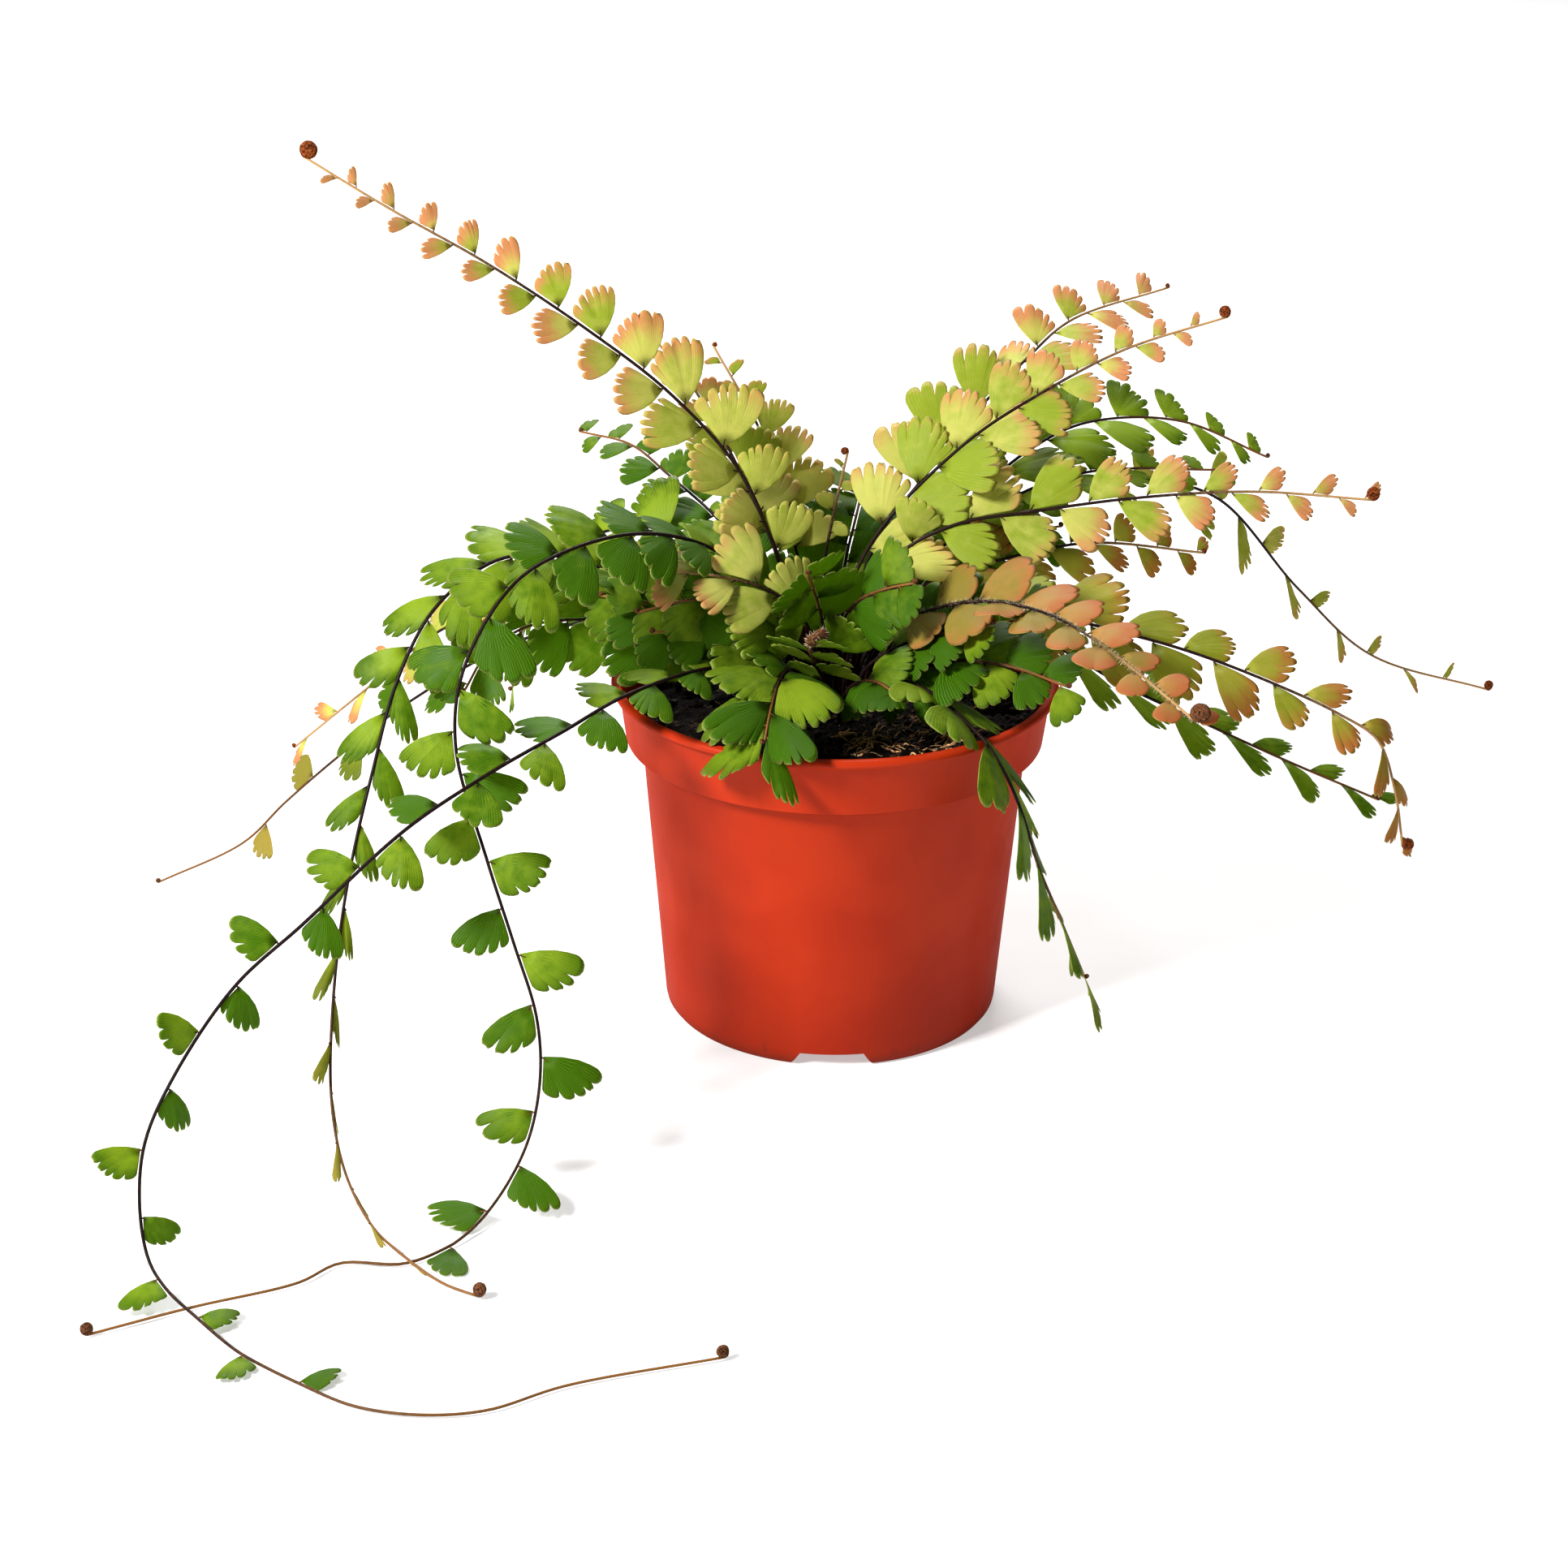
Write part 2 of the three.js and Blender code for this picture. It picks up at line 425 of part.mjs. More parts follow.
// The pot: a shell with a wide band, a rolled lip and a flat foot.
function potSolid() {
  const outer = turned([
    [0, 0],
    [FOOT_RADIUS, 0],
    [BODY_FOOT_RADIUS, 2],
    [BODY_TOP_RADIUS, BAND_FOOT - 0.8],
    [BAND_RADIUS, BAND_FOOT + 0.2],
    [LIP_RADIUS - 2, POT_HEIGHT - 2.6],
    [LIP_RADIUS, POT_HEIGHT - 1.3],
    [LIP_RADIUS - 0.6, POT_HEIGHT],
    [0, POT_HEIGHT],
  ]);
  const inner = turned([
    [0, FLOOR],
    [FOOT_RADIUS - WALL, FLOOR],
    [BODY_FOOT_RADIUS - WALL, 2.6],
    [BODY_TOP_RADIUS - WALL, BAND_FOOT + 0.4],
    [BAND_RADIUS - WALL, BAND_FOOT + 1.8],
    [LIP_RADIUS - 2.4, POT_HEIGHT - 0.3],
    [LIP_RADIUS - 2.4, POT_HEIGHT + 1],
    [0, POT_HEIGHT + 1],
  ]);
  let pot = outer.subtract(inner);
  for (let i = 0; i < NOTCHES; i += 1) {
    const angle = (i * Math.PI * 2) / NOTCHES;
    const cover = notchBlock(WALL, 0, NOTCH_HEIGHT + WALL, POCKET_INNER - WALL, LIP_RADIUS, angle);
    const pocket = notchBlock(0, -1, NOTCH_HEIGHT, POCKET_INNER, LIP_RADIUS, angle);
    pot = pot.add(cover.intersect(outer)).subtract(pocket).subtract(drainHole(angle));
  }
  return pot;
}

// The soil lies a little under the rim, lowest at the back left and heaped at the front right,
// and nearly level round the crown of the plant.
function soilHeight(x, y) {
  const heap = SOIL_SLOPE[0] * x + SOIL_SLOPE[1] * y;
  const waves = Math.sin(0.31 * x + 0.5) * Math.cos(0.27 * y) + 0.7 * Math.sin(0.0144 * x * y);
  const calm = Math.min(Math.hypot(x, y - CROWN_Y) / CROWN_RADIUS, 1);
  return SOIL_LEVEL + calm * (heap + LUMP_HEIGHT * waves);
}

function soilSolid() {
  const points = [[0, 0, soilHeight(0, 0)]];
  const faces = [];
  const ring = (radius, height) => {
    for (let i = 0; i < SOIL_SIDES; i += 1) {
      const angle = (i * Math.PI * 2) / SOIL_SIDES;
      const x = radius * Math.cos(angle);
      const y = radius * Math.sin(angle);
      points.push([x, y, height(x, y)]);
    }
  };
  SOIL_RINGS.forEach((radius) => ring(radius, soilHeight));
  ring(BAND_RADIUS - WALL - SOIL_GAP - 0.5, () => BAND_FOOT + 2.6);
  ring(BODY_TOP_RADIUS - WALL - SOIL_GAP - 0.3, () => BAND_FOOT + 0.7);
  ring(BODY_FOOT_RADIUS - WALL - SOIL_GAP - 0.1, () => SOIL_BOTTOM);
  points.push([0, 0, SOIL_BOTTOM]);
  const rings = SOIL_RINGS.length + 3;
  const at = (k, i) => 1 + k * SOIL_SIDES + (i % SOIL_SIDES);
  for (let i = 0; i < SOIL_SIDES; i += 1) {
    faces.push(0, at(0, i), at(0, i + 1));
    for (let k = 0; k + 1 < rings; k += 1) {
      faces.push(at(k, i), at(k + 1, i), at(k + 1, i + 1));
      faces.push(at(k, i), at(k + 1, i + 1), at(k, i + 1));
    }
    faces.push(at(rings - 1, i + 1), at(rings - 1, i), points.length - 1);
  }
  const geometry = new THREE.BufferGeometry();
  geometry.setAttribute('position', new THREE.Float32BufferAttribute(points.flat(), 3));
  geometry.setIndex(faces);
  return toSolid(geometry);
}

function stemHole([x, y, z]) {
  const hole = new THREE.CylinderGeometry(HOLE_RADIUS, HOLE_RADIUS, HOLE_DEPTH + HOLE_ABOVE, HOLE_SIDES);
  hole.rotateX(Math.PI / 2);
  hole.translate(x, y, z + (HOLE_ABOVE - HOLE_DEPTH) / 2);
  return toSolid(hole);
}

// A repeatable random number between -1 and 1 for each call.
const RANDOM_RANGE = 2 ** 32;

function makeRandom(seed) {
  let state = seed * 7919 + 17;
  return () => {
    state = (state * 1664525 + 1013904223) % RANDOM_RANGE;
    return (state / RANDOM_RANGE) * 2 - 1;
  };
}

// A frond's route, sampled evenly in the curve's own parameter and read by length.
class Route {
  constructor(frond) {
    const [x, y, z] = frond.route[0];
    const buried = [[x, y, z - BURIED], [x, y, z - 2], [x, y, z + 1.5]];
    const waypoints = [...buried, ...frond.route.slice(1)];
    const curve = new THREE.CatmullRomCurve3(waypoints.map((p) => new THREE.Vector3(...p)));
    this.samples = curve.getPoints(ROUTE_SAMPLES);
    this.samples.forEach((p) => {
      p.z = Math.max(p.z, LOWEST);
    });
    this.lengths = [0];
    for (let i = 1; i < this.samples.length; i += 1) {
      const step = this.samples[i].distanceTo(this.samples[i - 1]);
      this.lengths.push(this.lengths[i - 1] + step);
    }
    this.length = this.lengths[this.lengths.length - 1];
    this.faces = frond.face.map((f) => new THREE.Vector3(...f).normalize());
  }

  point(s) {
    const clamped = Math.min(Math.max(s, 0), this.length);
    let i = this.lengths.findIndex((l) => l >= clamped);
    i = Math.max(i, 1);
    const t = (clamped - this.lengths[i - 1]) / (this.lengths[i] - this.lengths[i - 1]);
    return this.samples[i - 1].clone().lerp(this.samples[i], t);
  }

  // The direction of travel, the side to the right of it and the way the upper face looks.
  axes(s) {
    const along = this.point(s + HALF_STEP).sub(this.point(s - HALF_STEP)).normalize();
    const place = THREE.MathUtils.clamp(s / this.length, 0, 1) * (this.faces.length - 1);
    const k = Math.min(Math.floor(place), Math.max(this.faces.length - 2, 0));
    const next = this.faces[Math.min(k + 1, this.faces.length - 1)];
    const face = this.faces[k].clone().lerp(next, place - k);
    const up = face.sub(along.clone().multiplyScalar(face.dot(along))).normalize();
    const side = along.clone().cross(up);
    return { along, up, side };
  }
}

// Where each leaflet of a frond stands, how long it is and how it is tilted.
function leafletPlan(frond, route, seed) {
  const random = makeRandom(seed);
  const from = frond.first + BURIED;
  const to = Math.min(frond.last + BURIED, route.length - END_BARE);
  const plan = [];
  for (let i = 0; i < frond.leaflets; i += 1) {
    const u = frond.leaflets > 1 ? i / (frond.leaflets - 1) : 0;
    const s = from + (to - from) * (u - frond.spread * u * (1 - u));
    const rising = FIRST_LEAF + (1 - FIRST_LEAF) * Math.min(u / FULL_FROM, 1);
    const falling = THREE.MathUtils.lerp(1, frond.shrink, Math.max(u - FULL_FROM, 0) / (1 - FULL_FROM));
    const size = frond.size * rising * falling * (1 + SIZE_SCATTER * random());
    const tilt = frond.fold + TILT_SCATTER * random();
    const swing = THREE.MathUtils.lerp(...frond.lean, u) + SWING_SCATTER * random();
    plan.push({ s, size, tilt, swing, right: i % 2 === 0 });
  }
  return plan;
}

// The way a leaflet points, straight out from the rib.
function leafletOut(route, leaf, fit) {
  const turn = THREE.MathUtils.degToRad(leaf.tilt + fit.tilt);
  const { up, side } = route.axes(leaf.s + STALK / 2);
  const hand = leaf.right ? 1 : -1;
  return side.clone().multiplyScalar(hand * Math.cos(turn)).addScaledVector(up, Math.sin(turn));
}

// A leaflet's outline in space. The base edge is the stretch of rib that it grows from.
function leafletOutline(route, leaf, look, fit) {
  const size = leaf.size * fit.scale;
  let kind = look.outline;
  if (size < SMALL_LEAF) {
    kind = size < TINY_LEAF ? 'tiny' : 'small';
  }
  const turn = THREE.MathUtils.degToRad(leaf.tilt + fit.tilt);
  const swing = THREE.MathUtils.degToRad(leaf.swing + fit.swing);
  const { up, side } = route.axes(leaf.s + STALK / 2);
  const hand = leaf.right ? 1 : -1;
  const out = leafletOut(route, leaf, fit);
  const normal = up.clone().multiplyScalar(Math.cos(turn)).addScaledVector(side, -hand * Math.sin(turn));
  const flat = FAN[kind].map(([a, w]) => [
    (a + w * Math.sin(swing)) * size,
    Math.max(w * size * Math.cos(swing), LEAF_START),
  ]);
  const points = flat.map(([a, w]) => {
    const p = route.point(leaf.s + a).addScaledVector(out, w);
    p.z = Math.max(p.z, LOWEST);
    return p;
  });
  return { flat, points, normal };
}

class Builder {
  constructor() {
    this.points = [];
    this.index = [];
  }

  add(p) {
    this.points.push(p.x, p.y, p.z);
    return this.points.length / 3 - 1;
  }

  quad(a, b, c, d) {
    this.index.push(a, b, c, a, c, d);
  }

  // One flat outline, thickened: the two faces are split into triangles alike.
  slab(flat, tops, bottoms, openEdge) {
    const contour = flat.map(([a, w]) => new THREE.Vector2(a, w));
    const turn = THREE.ShapeUtils.area(contour) > 0;
    THREE.ShapeUtils.triangulateShape(contour, []).forEach(([a, b, c]) => {
      const corners = [contour[a], contour[b], contour[c]];
      const [i, j, k] = (THREE.ShapeUtils.area(corners) > 0) === turn ? [a, b, c] : [a, c, b];
      this.index.push(tops[i], tops[j], tops[k]);
      this.index.push(bottoms[i], bottoms[k], bottoms[j]);
    });
    for (let i = openEdge ? 1 : 0; i < flat.length; i += 1) {
      const j = (i + 1) % flat.length;
      this.quad(tops[i], bottoms[i], bottoms[j], tops[j]);
    }
  }

  geometry() {
    const geometry = new THREE.BufferGeometry();
    geometry.setAttribute('position', new THREE.Float32BufferAttribute(this.points, 3));
    geometry.setIndex(this.index);
    return geometry;
  }
}

// The stations along a rib: bare ones, and a pair for each leaflet's stalk.
function ribStations(route, plan) {
  const stations = [{ s: 0 }];
  const reach = (s) => {
    const last = stations[stations.length - 1].s;
    const steps = Math.max(Math.ceil((s - last) / BARE_STEP), 1);
    for (let i = 1; i <= steps; i += 1) {
      stations.push({ s: last + ((s - last) * i) / steps });
    }
  };
  reach(BURIED + 1);
  plan.forEach((leaf) => {
    reach(leaf.s);
    stations[stations.length - 1].leaf = leaf;
    stations.push({ s: leaf.s + STALK });
  });
  if (route.length - stations[stations.length - 1].s > 1) {
    reach(route.length);
  }
  return stations;
}

// The rib's corners at one place: upper left, upper right and keel.
function ribCorners(builder, centre, side, up, grow) {
  return [
    builder.add(centre.clone().addScaledVector(side, -RIB_HALF * grow).addScaledVector(up, RIB_TOP * grow)),
    builder.add(centre.clone().addScaledVector(side, RIB_HALF * grow).addScaledVector(up, RIB_TOP * grow)),
    builder.add(centre.clone().addScaledVector(up, -RIB_KEEL * grow)),
  ];
}

// The coiled tip turns up and back over the end of the rib.
function curlPlaces(route) {
  const end = route.point(route.length);
  const { along, up, side } = route.axes(route.length);
  const places = [];
  for (let i = 1; i <= CURL_STEPS; i += 1) {
    const angle = (i * CURL_TURN) / CURL_STEPS;
    const centre = end.clone()
      .addScaledVector(along, CURL_RADIUS * Math.sin(angle))
      .addScaledVector(up, CURL_RADIUS * (1 - Math.cos(angle)));
    const inward = up.clone().multiplyScalar(Math.cos(angle)).addScaledVector(along, -Math.sin(angle));
    const grow = 1 + CURL_SWELL * Math.sin((i * Math.PI) / CURL_STEPS);
    places.push({ centre, up: inward, side, grow });
  }
  return places;
}

// One frond as one closed body: the rib, its leaflets and its coiled tip. With no leaves it
// is the bare rib, and grow thickens it.
function frondGeometry(route, plan, look, grow) {
  const builder = new Builder();
  const places = ribStations(route, plan).map((station) => ({
    ...station, centre: route.point(station.s), ...route.axes(station.s), grow,
  }));
  curlPlaces(route).forEach((place) => places.push({ ...place, grow: place.grow * grow }));
  const rings = places.map((p) => ribCorners(builder, p.centre, p.side, p.up, p.grow));
  const [left0, right0, keel0] = rings[0];
  builder.index.push(left0, keel0, right0);
  for (let i = 0; i + 1 < rings.length; i += 1) {
    const [l, r, k] = rings[i];
    const [l2, r2, k2] = rings[i + 1];
    const leaf = places[i].leaf;
    builder.quad(l, r, r2, l2);
    if (leaf && leaf.right) {
      growLeaflet(builder, route, leaf, look, [[r2, r], [k2, k]]);
    } else {
      builder.quad(r, k, k2, r2);
    }
    if (leaf && !leaf.right) {
      growLeaflet(builder, route, leaf, look, [[l2, l], [k2, k]]);
    } else {
      builder.quad(k, l, l2, k2);
    }
  }
  const [left1, right1, keel1] = rings[rings.length - 1];
  builder.index.push(left1, right1, keel1);
  return builder.geometry();
}

// The base edge is given as [tip end, stalk end] on the top and on the keel.
function growLeaflet(builder, route, leaf, look, [[topFar, topNear], [keelFar, keelNear]]) {
  const { flat, points, normal } = leafletOutline(route, leaf, look, leaf.fit);
  const tops = points.map((p) => builder.add(p.clone().addScaledVector(normal, LEAF_THICK / 2)));
  const bottoms = points.map((p) => builder.add(p.clone().addScaledVector(normal, -LEAF_THICK / 2)));
  const edge = [[0, 0], [STALK, 0]];
  let outline = [...edge, ...flat];
  let upper = [topNear, topFar, ...tops];
  let lower = [keelNear, keelFar, ...bottoms];
  if (leaf.right) {
    outline = [edge[1], edge[0], ...[...flat].reverse()];
    upper = [topFar, topNear, ...[...tops].reverse()];
    lower = [keelFar, keelNear, ...[...bottoms].reverse()];
  }
  builder.slab(outline, upper, lower, true);
}

// A leaflet by itself, thickened by the clearance it must keep from its neighbours.
function leafletSolid(route, leaf, look, fit, clearance) {
  const { flat, points, normal } = leafletOutline(route, leaf, look, fit);
  flat.unshift([0, LEAF_START]);
  points.unshift(route.point(leaf.s).addScaledVector(leafletOut(route, leaf, fit), LEAF_START));
  const builder = new Builder();
  const half = LEAF_THICK / 2 + clearance;
  const order = leaf.right ? [...flat.keys()].reverse() : [...flat.keys()];
  const tops = order.map((i) => builder.add(points[i].clone().addScaledVector(normal, half)));
  const bottoms = order.map((i) => builder.add(points[i].clone().addScaledVector(normal, -half)));
  builder.slab(order.map((i) => flat[i]), tops, bottoms, false);
  return toSolid(builder.geometry());
}

// Leaflets give way to whatever already stands in their place: they tilt, swing, shrink or
// are left out, in this order.
const SCALES = [1, 0.85, 0.7];
const TURNS = [[0, 0], [16, 0], [-16, 0], [0, 10], [0, -10], [32, 0], [-32, 0], [20, 10], [-20, -10]];
const FITS = SCALES.flatMap((scale) => TURNS.map(([tilt, swing]) => ({ scale, tilt, swing })));

function bounds(solid) {
  const box = solid.boundingBox();
  return new THREE.Box3(new THREE.Vector3(...box.min), new THREE.Vector3(...box.max));
}

function clashes(solid, box, others, skip) {
  return others.some((other) => {
    if (other.owner === skip || !other.box.intersectsBox(box)) {
      return false;
    }
    const common = solid.intersect(other.solid);
    const empty = common.isEmpty();
    common.delete();
    return !empty;
  });
}

function placeLeaflets(fronds, fixed) {
  const placed = [];
  fronds.forEach(({ frond, route, plan, look }) => {
    plan.forEach((leaf) => {
      const fit = FITS.find((candidate) => {
        const thick = leafletSolid(route, leaf, look, candidate, CLEAR);
        const box = bounds(thick);
        const free = !clashes(thick, box, fixed, frond.name) && !clashes(thick, box, placed, null);
        thick.delete();
        return free;
      });
      if (fit) {
        leaf.fit = fit;
        const solid = leafletSolid(route, leaf, look, fit, 0);
        placed.push({ solid, box: bounds(solid), owner: frond.name });
      }
    });
  });
}

const pot = potSolid();
let soil = soilSolid();
FRONDS.forEach((frond) => {
  soil = soil.subtract(stemHole(frond.route[0]));
});
addPart('pot', toGeometry(pot), POT_COLOR, 0.4);
addPart('soil', toGeometry(soil), SOIL_COLOR, 0.95);

const fronds = FRONDS.map((frond, i) => {
  const route = new Route(frond);
  return { frond, route, plan: leafletPlan(frond, route, i + 1), look: LEAF_LOOKS[frond.age] };
});
const fixed = [
  { solid: pot, box: bounds(pot), owner: 'pot' },
  { solid: soil, box: bounds(soil), owner: 'soil' },
];
fronds.forEach(({ frond, route, look }) => {
  const rib = toSolid(frondGeometry(route, [], look, RIB_CLEARANCE));
  fixed.push({ solid: rib, box: bounds(rib), owner: frond.name });
});
placeLeaflets(fronds, fixed);
fronds.forEach(({ frond, route, plan, look }) => {
  const kept = plan.filter((leaf) => leaf.fit);
  addPart(`frond_${frond.name}`, frondGeometry(route, kept, look, 1), look.color, 0.6);
});

export default group;
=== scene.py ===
import math
import random

import bmesh
import bpy
import numpy as np
from mathutils import Matrix, Vector, noise
from mathutils.kdtree import KDTree


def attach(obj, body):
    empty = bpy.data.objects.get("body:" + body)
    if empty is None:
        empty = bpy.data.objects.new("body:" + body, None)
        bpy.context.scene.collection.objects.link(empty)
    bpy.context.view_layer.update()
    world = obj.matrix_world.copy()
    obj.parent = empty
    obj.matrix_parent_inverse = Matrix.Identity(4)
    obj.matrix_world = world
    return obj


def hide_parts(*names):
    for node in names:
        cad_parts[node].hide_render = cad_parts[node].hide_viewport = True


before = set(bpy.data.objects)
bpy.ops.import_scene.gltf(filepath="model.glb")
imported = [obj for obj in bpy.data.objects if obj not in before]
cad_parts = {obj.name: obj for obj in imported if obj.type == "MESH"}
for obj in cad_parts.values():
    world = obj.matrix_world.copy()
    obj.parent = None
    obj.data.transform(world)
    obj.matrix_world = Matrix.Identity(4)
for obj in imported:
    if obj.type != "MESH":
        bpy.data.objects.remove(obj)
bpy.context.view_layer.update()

MM = 0.001

# The photograph and the camera that took it, fitted to the pot's rim, band and foot.
PHOTO_SIDE = 1932
FOCAL_PIXELS = 4081
SENSOR = 36
CAMERA_DISTANCE = 901
CAMERA_ELEVATION = math.radians(23.32)
CAMERA_ROLL = math.radians(0.53)
CAMERA_TARGET = (-13.4, 0, 62.7)
TOWARDS_CAMERA = np.array([0, -math.cos(CAMERA_ELEVATION), math.sin(CAMERA_ELEVATION)])

# The pot, as in the frame.
POT_HEIGHT = 94.5
LIP_RADIUS = 60
BAND_FOOT = 78.4
BAND_RADIUS = 56.2
BODY_TOP_RADIUS = 51.8
BODY_FOOT_RADIUS = 45.6
FOOT_RADIUS = 44.5
WALL = 1.2
FLOOR = 1.4
POT_SIDES = 180
NOTCHES = 3
NOTCH_WIDE = 22
NOTCH_NARROW = 17
NOTCH_HEIGHT = 4
POCKET_INNER = 31

# The pot's finer detail: round edges, drain holes, and what its cleaning and shading go by.
BAND_ROUND = 0.6
LIP_ROUND = 1.15
DRAIN_RADIUS = 3
DRAIN_SIDES = 24
DRAIN_INSET = 2
SAME_POINT = 0.02
SHARP_FROM = 38

# The soil, as in the frame.
SOIL_BOTTOM = 5.5
SOIL_LEVEL = 86
SOIL_SLOPE = (0.055, -0.045)
LUMP_HEIGHT = 0.9
LUMP_WAVES = (0.31, 0.27)
LUMP_SHIFT = 0.5
CROSSED_WAVES = 0.0144
CROSSED_SHARE = 0.7
CROWN_Y = 4
CROWN_RADIUS = 26
SOIL_EDGE = 54.6
BURIED = 10
STRAIGHT_RISE = (-BURIED, -2, 1.5)

# The frond's frame: how the leaflets in the frame were placed.
STALK = 1.6
LEAF_START = 1.4
LOWEST = 1.1
LEAF_HALF_THICK = 0.35
ROUTE_SAMPLES = 400
HALF_STEP = 0.8
END_BARE = 3
SMALL_LEAF = 10
TINY_LEAF = 7.5
FIRST_LEAF = 0.82
FULL_FROM = 0.2
SIZE_SCATTER = 0.07
TILT_SCATTER = 8
SWING_SCATTER = 7
SCALES = (1, 0.85, 0.7)
TURNS = ((0, 0), (16, 0), (-16, 0), (0, 10), (0, -10), (32, 0), (-32, 0), (20, 10), (-20, -10))
FOUND_WITHIN = 0.08

# The numbers of the frame's random draws.
SEED_STEP = 7919
SEED_START = 17
DRAW_FACTOR = 1664525
DRAW_TERM = 1013904223
DRAW_RANGE = 2 ** 32

# The outermost point of the frame's leaflet of each kind, along the rib and away from it.
LEAF_POINT = {"wide": (0.12, 1), "long": (0, 1), "small": (0.1, 1), "tiny": (0, 1)}
OUTLINE_KIND = {"young": "wide", "mature": "long", "olive": "wide", "red": "long"}

